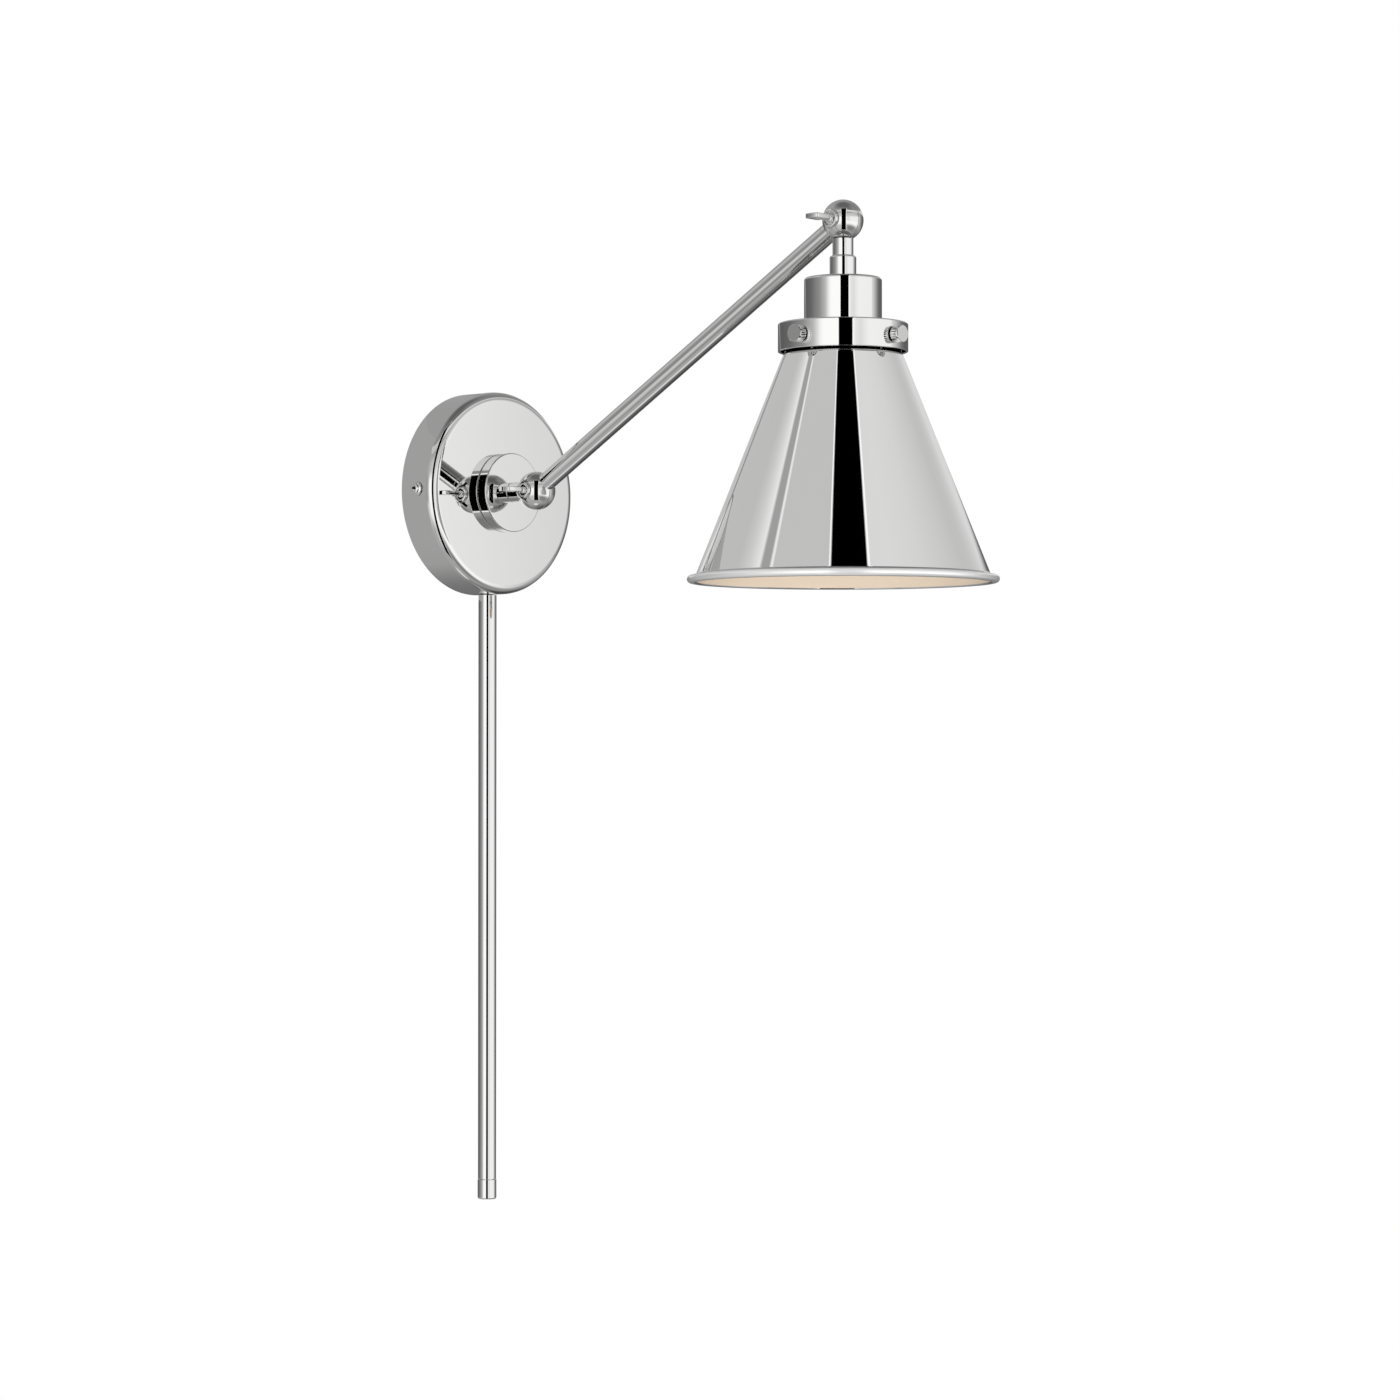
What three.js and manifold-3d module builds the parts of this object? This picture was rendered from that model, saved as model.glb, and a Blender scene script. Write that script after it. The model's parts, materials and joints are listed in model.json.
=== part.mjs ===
// Swing arm wall sconce: a round canopy, a swivel hub, a long arm between two ball knuckles, and a
// cone shade held in a gallery by four thumbscrews. Millimetres, +Z up, the wall is the plane y = 0
// and the light stands out along -Y. The origin is the centre of the canopy's back, on the wall.
import * as THREE from "three";
import { mergeVertices } from "three/addons/utils/BufferGeometryUtils.js";
import Module from "manifold-3d";

const wasm = await Module();
wasm.setup();

// ---- driving dimensions -------------------------------------------------------------------------
const GAP = 0.3; // between pieces that touch
const CLEARANCE = 0.35; // between a ball half and the neck of the other half

const CANOPY_RADIUS = 60.3;
const CANOPY_DEPTH = 26;
const CANOPY_WALL = 1;
const CANOPY_EDGE = 5.2; // radius of the rounded front edge
const SIDE_SCREW_Y = -13;

const HUB_RADIUS = 23.5;
const HUB_FACE_Y = -33.4;
const STEM_RADIUS = 5.9;
const STUD_RADIUS = 4.8;
const WIRE_BORE = 2.6;
const SWIVEL_LIMIT = 90; // degrees each way

const KNUCKLE_Y = -52;
const BALL_RADIUS = 11.5;
const BALL_FLAT = 10; // distance from the ball's centre to the flat under the key
const CHAMBER_RADIUS = 7;
const CHAMBER_DEPTH = 5;
const WASHER_THICKNESS = 0.6;
const KEY_SCREW_RADIUS = 2;

const ARM_RADIUS = 5.5;
const ARM_WALL = 0.9;
const ARM_LENGTH = 273.4; // between the two knuckle centres
const ARM_ELEVATION = THREE.MathUtils.degToRad(30.6);
const ARM_NECK = 13.2; // where a tube starts, from the ball's centre
const LEAD_START = 12.2; // where a lead starts, from the ball's centre

const NECK_RADIUS = 5.8;
const NECK_END = 19.5; // distances down from the upper ball's centre
const CUP_TOP = 32;
const GALLERY_TOP = 57.4;
const GALLERY_BOTTOM = 73.1;
const RIM_BOTTOM = 200.9;
const COLLAR_RADIUS = 7.4;
const CUP_RADIUS = 21.6;
const GALLERY_RADIUS = 36.1;
const GALLERY_WALL = 1.5;
const SCREW_LEVEL = 65.8;

const SHADE_COLLAR_RADIUS = 32.3;
const SHADE_RIM_RADIUS = 81.2; // the cone's, above the bead
const SHADE_WALL = 1;
const BEAD_RADIUS = 2.1;

const TUBE_RADIUS = 5.4; // cord cover tube
const TUBE_WALL = 1;
const TUBE_Y = -11.75;
const TUBE_END = -409.4;
const CAP_END = -421.3;
const NIPPLE_HOLE = 4;
const CORD_WAY = 3; // radius left for the cord all the way through
const BUSH_WALL = 0.4;

// ---- materials ----------------------------------------------------------------------------------
const FINISHES = {
  nickel: { color: 0xd2d4d6, roughness: 0.08, metalness: 1 },
  steel: { color: 0xb4b6b9, roughness: 0.35, metalness: 1 },
  spring: { color: 0x8e9094, roughness: 0.4, metalness: 1 },
  brass: { color: 0xc9a14a, roughness: 0.3, metalness: 1 },
  ceramic: { color: 0xf1efe8, roughness: 0.35, metalness: 0 },
  opal: { color: 0xfff1d8, roughness: 0.25, metalness: 0 },
  fibre: { color: 0x7b3b26, roughness: 0.8, metalness: 0 },
  green: { color: 0x3c7a45, roughness: 0.4, metalness: 0.6 },
  yellow: { color: 0xd8b23a, roughness: 0.5, metalness: 0 },
  white: { color: 0xe9e9e6, roughness: 0.5, metalness: 0 },
  black: { color: 0x1c1c1d, roughness: 0.5, metalness: 0 },
};

// ---- shape helpers ------------------------------------------------------------------------------
function signedVolume(position, triangles) {
  const [a, b, c] = [new THREE.Vector3(), new THREE.Vector3(), new THREE.Vector3()];
  let sum = 0;
  for (let i = 0; i < triangles.length; i += 3) {
    a.fromBufferAttribute(position, triangles[i]);
    b.fromBufferAttribute(position, triangles[i + 1]);
    c.fromBufferAttribute(position, triangles[i + 2]);
    sum += a.dot(b.cross(c));
  }
  return sum;
}

// a closed three.js geometry as a solid that can be joined and cut
function solid(geometry) {
  const bare = geometry.clone();
  bare.deleteAttribute("normal");
  bare.deleteAttribute("uv");
  const merged = mergeVertices(bare, 1e-4);
  const source = merged.index.array;
  const triangles = [];
  for (let i = 0; i < source.length; i += 3) {
    const [a, b, c] = source.slice(i, i + 3);
    if (a !== b && b !== c && c !== a) triangles.push(a, b, c);
  }
  if (signedVolume(merged.attributes.position, triangles) < 0) triangles.reverse();
  return new wasm.Manifold(new wasm.Mesh({
    numProp: 3,
    vertProperties: Float32Array.from(merged.attributes.position.array),
    triVerts: Uint32Array.from(triangles),
  }));
}

function geometryOf(shape) {
  const mesh = shape.getMesh();
  const geometry = new THREE.BufferGeometry();
  const stride = mesh.numProp;
  const points = new Float32Array((mesh.vertProperties.length / stride) * 3);
  for (let i = 0; i < points.length / 3; i += 1) {
    points.set(mesh.vertProperties.subarray(i * stride, i * stride + 3), i * 3);
  }
  geometry.setAttribute("position", new THREE.BufferAttribute(points, 3));
  geometry.setIndex(Array.from(mesh.triVerts));
  return geometry;
}

// lays a geometry made along +Y along another axis
function along(geometry, axis) {
  if (axis === "x") geometry.rotateZ(-Math.PI / 2);
  if (axis === "z") geometry.rotateX(Math.PI / 2);
  return geometry;
}

// a body of revolution: profile is [radius, distance along the axis] pairs
function turned(profile, axis = "z", segments = 32) {
  const points = profile.map(([radius, height]) => new THREE.Vector2(radius, height));
  return solid(along(new THREE.LatheGeometry(points, segments), axis));
}

function rod(radius, from, to, axis = "z", segments = 24) {
  return turned([[0, from], [radius, from], [radius, to], [0, to]], axis, segments);
}

function ring(inner, outer, from, to, axis = "z", segments = 32) {
  return turned([[inner, from], [outer, from], [outer, to], [inner, to], [inner, from]], axis, segments);
}

// a profile's rounded corner, as points on a quarter or part circle
function arc(centreRadius, centreHeight, radius, fromDegrees, toDegrees, steps = 4) {
  const points = [];
  for (let i = 0; i <= steps; i += 1) {
    const angle = THREE.MathUtils.degToRad(fromDegrees + ((toDegrees - fromDegrees) * i) / steps);
    points.push([centreRadius + radius * Math.cos(angle), centreHeight + radius * Math.sin(angle)]);
  }
  return points;
}

function block(size, centre) {
  const geometry = new THREE.BoxGeometry(...size);
  geometry.translate(...centre);
  return solid(geometry);
}

// a flat outline pushed from one distance to another along an axis
function prism(outline, from, to, axis = "z") {
  const shape = new THREE.Shape(outline.map(([u, v]) => new THREE.Vector2(u, v)));
  const geometry = new THREE.ExtrudeGeometry(shape, { depth: to - from, bevelEnabled: false });
  geometry.translate(0, 0, from);
  if (axis === "x") geometry.rotateY(Math.PI / 2);
  if (axis === "y") geometry.rotateX(-Math.PI / 2);
  return solid(geometry);
}

function hexagon(acrossFlats) {
  const corner = acrossFlats / Math.sqrt(3);
  return Array.from({ length: 6 }, (_, i) => [
    corner * Math.cos((i * Math.PI) / 3),
    corner * Math.sin((i * Math.PI) / 3),
  ]);
}

// a wire or lead along points, with a round section
function wire(points, radius, steps, sides = 8) {
  const section = new THREE.Shape();
  section.absarc(0, 0, radius, 0, Math.PI * 2);
  const path = new THREE.CatmullRomCurve3(points.map((point) => new THREE.Vector3(...point)));
  return solid(new THREE.ExtrudeGeometry(section, { steps, curveSegments: sides, extrudePath: path }));
}

// adds one named piece to a group
function addPiece(group, name, finish, shape) {
  const mesh = new THREE.Mesh(geometryOf(shape), new THREE.MeshStandardMaterial(FINISHES[finish]));
  mesh.name = name;
  group.add(mesh);
  return mesh;
}

// ---- wall plate and canopy ----------------------------------------------------------------------
const canopyInside = CANOPY_RADIUS - CANOPY_WALL;

function makeCanopy() {
  const innerEdge = CANOPY_EDGE - CANOPY_WALL;
  const edgeRadius = CANOPY_RADIUS - CANOPY_EDGE;
  const edgeY = -(CANOPY_DEPTH - CANOPY_EDGE);
  const profile = [
    [CANOPY_RADIUS, 0],
    ...arc(edgeRadius, edgeY, CANOPY_EDGE, 0, -90, 4),
    [STUD_RADIUS + GAP, -CANOPY_DEPTH],
    [STUD_RADIUS + GAP, CANOPY_WALL - CANOPY_DEPTH],
    ...arc(edgeRadius, edgeY, innerEdge, -90, 0, 2),
    [canopyInside, 0],
    [CANOPY_RADIUS, 0],
  ];
  const sideHoles = rod(2.4, -70, 70, "x", 16);
  const tubeHole = rod(NIPPLE_HOLE, -70, -50, "z", 16);
  return turned(profile, "y", 56)
    .subtract(sideHoles.translate([0, SIDE_SCREW_Y, 0]))
    .subtract(tubeHole.translate([0, TUBE_Y, 0]));
}

// flat bar against the wall whose two bent ears take the canopy's side screws
function makeStrap() {
  const thickness = 2;
  const reach = 57.4;
  const earDepth = 20;
  const slotFrom = 32;
  const slotTo = 46;
  let strap = block([2 * reach, thickness, 18], [0, -thickness / 2, 0]);
  strap = strap.subtract(rod(7, -5, 5, "y", 24));
  for (const side of [-1, 1]) {
    const ear = block([thickness, earDepth, 12], [side * (reach - thickness / 2), -earDepth / 2, 0]);
    const slotMiddle = (side * (slotFrom + slotTo)) / 2;
    strap = strap.add(ear);
    strap = strap.subtract(block([slotTo - slotFrom, 6, 5], [slotMiddle, 0, 0]));
    strap = strap.subtract(rod(1.8, -5, 5, "y", 12).translate([side * 19, 0, 5]));
  }
  return strap.subtract(rod(2.3, -70, 70, "x", 16).translate([0, SIDE_SCREW_Y, 0]));
}

// button head with a hex socket, its shank through the canopy and the strap's ear
function makeCanopyScrew(side) {
  const seat = CANOPY_RADIUS + GAP;
  const headRadius = 4.4;
  const headHeight = 2.4;
  const profile = [
    [0, 51],
    [1.7, 51],
    [2, 51.5],
    [2, seat],
    [headRadius, seat],
    [headRadius, seat + 0.5],
    [3.9, seat + 1.4],
    [2.9, seat + 2.1],
    [1.9, seat + headHeight],
    [0, seat + headHeight],
  ];
  const socket = prism(hexagon(2.6), seat + 0.9, seat + 4, "x");
  const screw = turned(profile, "x", 20).subtract(socket);
  return (side < 0 ? screw.mirror([1, 0, 0]) : screw).translate([0, SIDE_SCREW_Y, 0]);
}

function makeGroundScrew() {
  const screw = turned([[0, -3], [1.5, -3], [1.5, -0.2], [3.6, -0.2], [3.6, 1], [2.6, 2], [0, 2]], "y", 20);
  const slot = block([6, 1.2, 0.9], [0, 2, 0]);
  return screw.subtract(slot).rotate([180, 0, 0]).translate([19, -2.5, 5]);
}

// twist-on wire connector: a ribbed cone open at its wide end
function makeConnector(x) {
  let cap = turned([[0, 16], [2.4, 16], [3.4, 15], [4.6, 4], [5.2, 0], [3.6, 0], [2.6, 11], [0, 11]], "z", 16);
  for (let i = 0; i < 6; i += 1) {
    const rib = block([1, 1, 9], [4.6, 0, 7.5]);
    cap = cap.add(rib.rotate([0, 0, i * 60]));
  }
  return cap.translate([x, -11, 24]);
}

function makeConductor(side) {
  return wire([[side * 1.2, -9.2, 0], [side * 3, -6.4, 7], [side * 11, -8.6, 17], [side * 13, -11, 26]], 1, 14, 3);
}

// ---- cord cover tube ----------------------------------------------------------------------------
function makeTubeNipple() {
  const top = -49;
  return ring(CORD_WAY, 3.7, top - 20, top, "z", 16).translate([0, TUBE_Y, 0]);
}

function makeTubeNut() {
  const nut = prism(hexagon(12), -58.1, -55.2).subtract(rod(NIPPLE_HOLE, -60, -50, "z", 16));
  return nut.translate([0, TUBE_Y, 0]);
}

function makeCordTube() {
  const bore = TUBE_RADIUS - TUBE_WALL;
  const top = -CANOPY_RADIUS - GAP;
  const plugEnd = top - 12;
  const profile = [
    [NIPPLE_HOLE, top],
    [TUBE_RADIUS, top],
    [TUBE_RADIUS, TUBE_END],
    [bore, TUBE_END],
    [bore, plugEnd],
    [NIPPLE_HOLE, plugEnd],
    [NIPPLE_HOLE, top],
  ];
  return turned(profile, "z", 24).translate([0, TUBE_Y, 0]);
}

function makeTubeCap() {
  const capRadius = 5.6;
  const edge = 1;
  const bore = CORD_WAY + BUSH_WALL + 0.25;
  const spigot = 4.1;
  const spigotTop = TUBE_END + 8;
  const profile = [
    [bore, spigotTop],
    [spigot, spigotTop],
    [spigot, TUBE_END - GAP],
    [capRadius, TUBE_END - GAP],
    ...arc(capRadius - edge, CAP_END + edge, edge, 0, -90, 3),
    [bore, CAP_END],
    [bore, spigotTop],
  ];
  return turned(profile, "z", 24).translate([0, TUBE_Y, 0]);
}

function makeCordBush() {
  return ring(CORD_WAY, CORD_WAY + BUSH_WALL, CAP_END + 0.6, TUBE_END + 6, "z", 16).translate([0, TUBE_Y, 0]);
}

// ---- knuckles -----------------------------------------------------------------------------------
// Half of a split ball, on the side given by side (-1 or 1) of the plane x = 0. Its neck runs along
// +Z on the ball's full width, so it is cut back to clear the other half, and ends in a hollow spigot.
function makeBallHalf(side, neckRadius, neckEnd, spigotRadius, spigotEnd, washerSeat) {
  const half = 30;
  const face = GAP / 2;
  const keepSide = block([half, 2 * half, 2 * half], [side * (half / 2 + face), 0, 0]);
  const otherSide = block([half, 2 * half, 2 * half], [side * (face - half / 2), 0, 0]);
  const ball = turned(arc(0, 0, BALL_RADIUS, -90, 90, 10), "x", 26);
  const neckProfile = [
    [0, 6],
    [neckRadius, 6],
    [neckRadius, neckEnd],
    [spigotRadius, neckEnd],
    [spigotRadius, spigotEnd],
    [0, spigotEnd],
  ];
  const clearBall = turned(arc(0, 0, BALL_RADIUS + CLEARANCE, -90, 90, 10), "x", 26);
  const neck = turned(neckProfile, "z", 24).subtract(clearBall.intersect(otherSide));
  let piece = ball.intersect(keepSide).add(neck);
  const chamber = ring(3.8, CHAMBER_RADIUS, -1, CHAMBER_DEPTH, "x", 16);
  piece = piece.subtract(side < 0 ? chamber.mirror([1, 0, 0]) : chamber);
  piece = piece.subtract(rod(WIRE_BORE, 4.5, spigotEnd + 1, "z", 12));
  const screwReach = side < 0 ? -20 : 8.5;
  const screwHole = rod(KEY_SCREW_RADIUS + GAP, Math.min(-1, screwReach), Math.max(1, screwReach), "x", 16);
  piece = piece.subtract(screwHole);
  if (side < 0) piece = piece.subtract(block([10, 30, 30], [-(BALL_FLAT + 5), 0, 0]));
  if (washerSeat) piece = piece.subtract(ring(6.6, 9.8, -1, face + WASHER_THICKNESS, "x", 20));
  return piece;
}

function makeKnuckleWasher() {
  return ring(7.3, 9.5, GAP / 2 - 0.05, GAP / 2 + WASHER_THICKNESS - 0.25, "x", 20);
}

// clamping screw on -X from the ball's flat: a dished collar, a short neck and a flat paddle with a
// slightly bowed end
function makeKey() {
  const seat = -(BALL_FLAT + GAP);
  const collarRadius = 5.1;
  const neckRadius = 1.7;
  const halfWidth = 4.45;
  const halfThickness = 1.3;
  const corner = 1.1;
  const plateStart = -16.2;
  const plateEnd = -28;
  const bow = 12;
  const lean = Math.asin((halfWidth - corner) / (bow - corner));
  const bowStart = 180 - THREE.MathUtils.radToDeg(lean);
  const cornerX = plateEnd + bow - (bow - corner) * Math.cos(lean);
  const profile = [
    [0, 7.6],
    [KEY_SCREW_RADIUS - 0.4, 7.6],
    [KEY_SCREW_RADIUS, 7.1],
    [KEY_SCREW_RADIUS, seat],
    [collarRadius, seat],
    [collarRadius, seat - 1.4],
    [collarRadius - 0.5, seat - 1.9],
    [3.4, seat - 1.9],
    [2.6, seat - 1.2],
    [neckRadius, seat - 1.2],
    [neckRadius, plateStart - corner],
    [0, plateStart - corner],
  ];
  const outline = [
    ...arc(plateStart - corner, halfWidth - corner, corner, 0, 90, 3),
    ...arc(cornerX, halfWidth - corner, corner, 90, bowStart, 4),
    ...arc(plateEnd + bow, 0, bow, bowStart + 4, 356 - bowStart, 5),
    ...arc(cornerX, corner - halfWidth, corner, 360 - bowStart, 270, 4),
    ...arc(plateStart - corner, corner - halfWidth, corner, -90, 0, 3),
  ];
  return turned(profile, "x", 20).add(prism(outline, -halfThickness, halfThickness));
}

// ---- swivel hub ---------------------------------------------------------------------------------
function makeHubDisc() {
  const back = -(CANOPY_DEPTH + GAP);
  const edge = 0.6;
  const hole = STUD_RADIUS + GAP;
  const profile = [
    [hole, back],
    [HUB_RADIUS - edge, back],
    [HUB_RADIUS, back - edge],
    [HUB_RADIUS, HUB_FACE_Y + edge],
    [HUB_RADIUS - edge, HUB_FACE_Y],
    [hole, HUB_FACE_Y],
    [hole, back],
  ];
  return turned(profile, "y", 44);
}

// nut on the swivel stud, its flat faces across Y
function makeStudNut(from, to) {
  return prism(hexagon(15), from, to, "y").subtract(rod(STUD_RADIUS + GAP, -40, 10, "y", 20));
}

// keyed washer whose tab stops against the two pins
function makeStopWasher() {
  const from = -23.1;
  const to = -22.1;
  const washer = ring(STUD_RADIUS + GAP, 10, from, to, "y", 20);
  const tab = block([6, to - from, 8], [0, (from + to) / 2, -11.5]);
  return washer.add(tab);
}

function makeStopPin(side) {
  const pinAngle = THREE.MathUtils.degToRad(SWIVEL_LIMIT + 22);
  const pinRadius = 13;
  const x = side * pinRadius * Math.sin(pinAngle);
  const z = -pinRadius * Math.cos(pinAngle);
  return rod(1.5, -24.7, -20, "y", 10).translate([x, 0, z]);
}

// ---- head ---------------------------------------------------------------------------------------
function makeNeckCollar() {
  const bore = STUD_RADIUS + GAP;
  const top = -(NECK_END + GAP);
  const bottom = -(CUP_TOP - GAP);
  const profile = [
    [bore, top],
    [COLLAR_RADIUS - 1, top],
    [COLLAR_RADIUS, top - 1.2],
    [COLLAR_RADIUS, bottom],
    [bore, bottom],
    [bore, top],
  ];
  return turned(profile, "z", 28);
}

function makeSocketCup() {
  const wall = 1;
  const edge = 1.6;
  const bottom = -(GALLERY_TOP - GAP);
  const bore = STUD_RADIUS + GAP;
  const profile = [
    [bore, -CUP_TOP],
    ...arc(CUP_RADIUS - edge, -(CUP_TOP + edge), edge, 90, 0, 3),
    [CUP_RADIUS, bottom],
    [CUP_RADIUS - wall, bottom],
    [CUP_RADIUS - wall, -(CUP_TOP + edge)],
    [CUP_RADIUS - edge, -(CUP_TOP + wall)],
    [bore, -(CUP_TOP + wall)],
    [bore, -CUP_TOP],
  ];
  return turned(profile, "z", 36);
}

function makeGallery() {
  const edge = 0.8;
  const inside = GALLERY_RADIUS - GALLERY_WALL;
  const profile = [
    [18, -GALLERY_TOP],
    ...arc(GALLERY_RADIUS - edge, -(GALLERY_TOP + edge), edge, 90, 0, 2),
    [GALLERY_RADIUS, -(GALLERY_BOTTOM - 0.4)],
    [GALLERY_RADIUS - 0.4, -GALLERY_BOTTOM],
    [inside, -GALLERY_BOTTOM],
    [inside, -(GALLERY_TOP + 1.2)],
    [18, -(GALLERY_TOP + 1.2)],
    [18, -GALLERY_TOP],
  ];
  let gallery = turned(profile, "z", 48);
  for (const axis of ["x", "y"]) {
    gallery = gallery.subtract(rod(2.3, -50, 50, axis, 12).translate([0, 0, -SCREW_LEVEL]));
  }
  return gallery;
}

// thumbscrew on the +X side: knurled head outside the gallery, tip against the shade's collar
function makeThumbscrew() {
  const headRadius = 4.75;
  const headFrom = GALLERY_RADIUS + 0.6;
  const headTo = GALLERY_RADIUS + 6.3;
  const tip = SHADE_COLLAR_RADIUS + GAP;
  const profile = [
    [0, tip],
    [1.4, tip],
    [2, tip + 0.6],
    [2, headFrom],
    [headRadius - 0.4, headFrom],
    [headRadius, headFrom + 0.5],
    [headRadius, headTo - 0.3],
    [headRadius - 0.3, headTo],
    [0, headTo],
  ];
  return turned(profile, "x", 20);
}

function makeShade() {
  const collarTop = -60.6;
  const coneTop = -72.4;
  const beadHeight = -(RIM_BOTTOM - BEAD_RADIUS);
  const profile = [
    [SHADE_COLLAR_RADIUS, collarTop],
    [SHADE_COLLAR_RADIUS, coneTop],
    [SHADE_RIM_RADIUS, beadHeight + 2.8],
    ...arc(SHADE_RIM_RADIUS + 3.2, beadHeight, BEAD_RADIUS, 100, -90, 5),
    [SHADE_RIM_RADIUS + 1.1, -RIM_BOTTOM],
    [SHADE_RIM_RADIUS + 0.7, 0.4 - RIM_BOTTOM],
    [SHADE_COLLAR_RADIUS - SHADE_WALL, coneTop - 0.2],
    [SHADE_COLLAR_RADIUS - SHADE_WALL, collarTop],
    [SHADE_COLLAR_RADIUS, collarTop],
  ];
  return turned(profile, "z", 56);
}

function makeCupNut() {
  return prism(hexagon(15), -36.6, -33.3).subtract(rod(STUD_RADIUS + GAP, -50, 0, "z", 20));
}

function makeClampRing() {
  return ring(17.6, 22.5, -61.6, -58.9, "z", 28);
}

// keyless lamp holder, open below
function makeSocketBody() {
  const profile = [
    [0, -40],
    [14.5, -40],
    [17.2, -43],
    [17.2, -76],
    [15.6, -77.5],
    [14.4, -77.5],
    [14.4, -46],
    [0, -46],
  ];
  return turned(profile, "z", 24);
}

function makeSocketShell() {
  return ring(13.5, 14.1, -76, -47, "z", 24);
}

function makeCentreContact() {
  return turned([[0, -46.3], [4, -46.3], [4, -47], [1.8, -48.6], [0, -48.6]], "z", 16);
}

// screw cap of the lamp, its thread as shallow rings; the glass shell below it is open at the cap
function makeLampCap() {
  const profile = [[0, -49], [3.5, -49], [5.4, -51], [11.6, -54]];
  for (let turn = 0; turn < 4; turn += 1) {
    const height = -(55.6 + turn * 4.6);
    profile.push([13.1, height], [13.1, height - 1], [12.3, height - 2.4]);
  }
  profile.push([13, -75.4], [13, -78.4], [0, -78.4]);
  return turned(profile, "z", 20);
}

function makeLampGlass() {
  const bulge = 29.5;
  const bulgeHeight = -129;
  const wall = 1;
  const neck = [[13, -78.7], [13.8, -84], [17.4, -96], [23.5, -108]];
  const outside = [...neck, ...arc(0, bulgeHeight, bulge, 22, -90, 6)];
  const inside = [...neck.map(([radius, height]) => [radius - wall, height])];
  inside.push(...arc(0, bulgeHeight, bulge - wall, 22, -90, 4));
  return turned([...outside, ...inside.reverse(), outside[0]], "z", 28);
}

// ---- assembly -----------------------------------------------------------------------------------
function buildWallMount() {
  const group = new THREE.Group();
  addPiece(group, "mounting_strap", "steel", makeStrap());
  addPiece(group, "ground_screw", "green", makeGroundScrew());
  addPiece(group, "canopy", "nickel", makeCanopy());
  addPiece(group, "canopy_screw_left", "nickel", makeCanopyScrew(-1));
  addPiece(group, "canopy_screw_right", "nickel", makeCanopyScrew(1));
  addPiece(group, "stop_pin_left", "steel", makeStopPin(-1));
  addPiece(group, "stop_pin_right", "steel", makeStopPin(1));
  addPiece(group, "thrust_washer", "fibre", ring(STUD_RADIUS + GAP, 10.5, -24.7, -23.9, "y", 20));
  addPiece(group, "wire_connector_live", "yellow", makeConnector(-13));
  addPiece(group, "wire_connector_neutral", "yellow", makeConnector(13));
  addPiece(group, "wire_live", "black", makeConductor(-1));
  addPiece(group, "wire_neutral", "white", makeConductor(1));
  addPiece(group, "cord_tube_nipple", "steel", makeTubeNipple());
  addPiece(group, "cord_tube_nut", "steel", makeTubeNut());
  addPiece(group, "cord_cover_tube", "nickel", makeCordTube());
  addPiece(group, "cord_cover_cap", "nickel", makeTubeCap());
  addPiece(group, "cord_bush", "black", makeCordBush());
  return group;
}

function buildHub() {
  const group = new THREE.Group();
  const neckEnd = HUB_FACE_Y - KNUCKLE_Y - GAP;
  const spigotEnd = -11 - KNUCKLE_Y;
  const ballHalf = makeBallHalf(1, STEM_RADIUS, neckEnd, STUD_RADIUS, spigotEnd, true);
  const knuckle = addPiece(group, "stem_knuckle", "nickel", ballHalf);
  knuckle.position.y = KNUCKLE_Y;
  knuckle.rotation.x = -Math.PI / 2;
  addPiece(group, "hub_disc", "nickel", makeHubDisc());
  addPiece(group, "stop_washer", "steel", makeStopWasher());
  addPiece(group, "wave_washer", "spring", ring(STUD_RADIUS + GAP, 8.4, -21.8, -20.9, "y", 20));
  addPiece(group, "hub_lock_nut", "brass", makeStudNut(-20.6, -17.6));
  addPiece(group, "hub_jam_nut", "brass", makeStudNut(-17.3, -14.8));
  addPiece(group, "lower_knuckle_washer", "fibre", makeKnuckleWasher()).position.y = KNUCKLE_Y;
  addPiece(group, "stem_lead", "black", rod(2, KNUCKLE_Y + LEAD_START, -11.5, "y", 12));
  return group;
}

// the arm lies along +Z of its own group, from the lower ball's centre
function buildArm() {
  const group = new THREE.Group();
  group.position.set(0, KNUCKLE_Y, 0);
  group.rotation.x = Math.PI / 2 - ARM_ELEVATION;
  const neckEnd = ARM_NECK - GAP;
  const bore = ARM_RADIUS - ARM_WALL;
  const makeEnd = () => makeBallHalf(-1, ARM_RADIUS, neckEnd, bore - GAP, neckEnd + 9, false);
  addPiece(group, "arm_knuckle_lower", "nickel", makeEnd());
  addPiece(group, "arm_tube", "nickel", ring(bore, ARM_RADIUS, ARM_NECK, ARM_LENGTH - ARM_NECK, "z", 28));
  const upper = addPiece(group, "arm_knuckle_upper", "nickel", makeEnd().mirror([0, 0, 1]));
  upper.position.z = ARM_LENGTH;
  addPiece(group, "arm_lead", "black", rod(2, LEAD_START, ARM_LENGTH - LEAD_START, "z", 12));
  return group;
}

const upperY = KNUCKLE_Y - ARM_LENGTH * Math.cos(ARM_ELEVATION);
const upperZ = ARM_LENGTH * Math.sin(ARM_ELEVATION);

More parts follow.
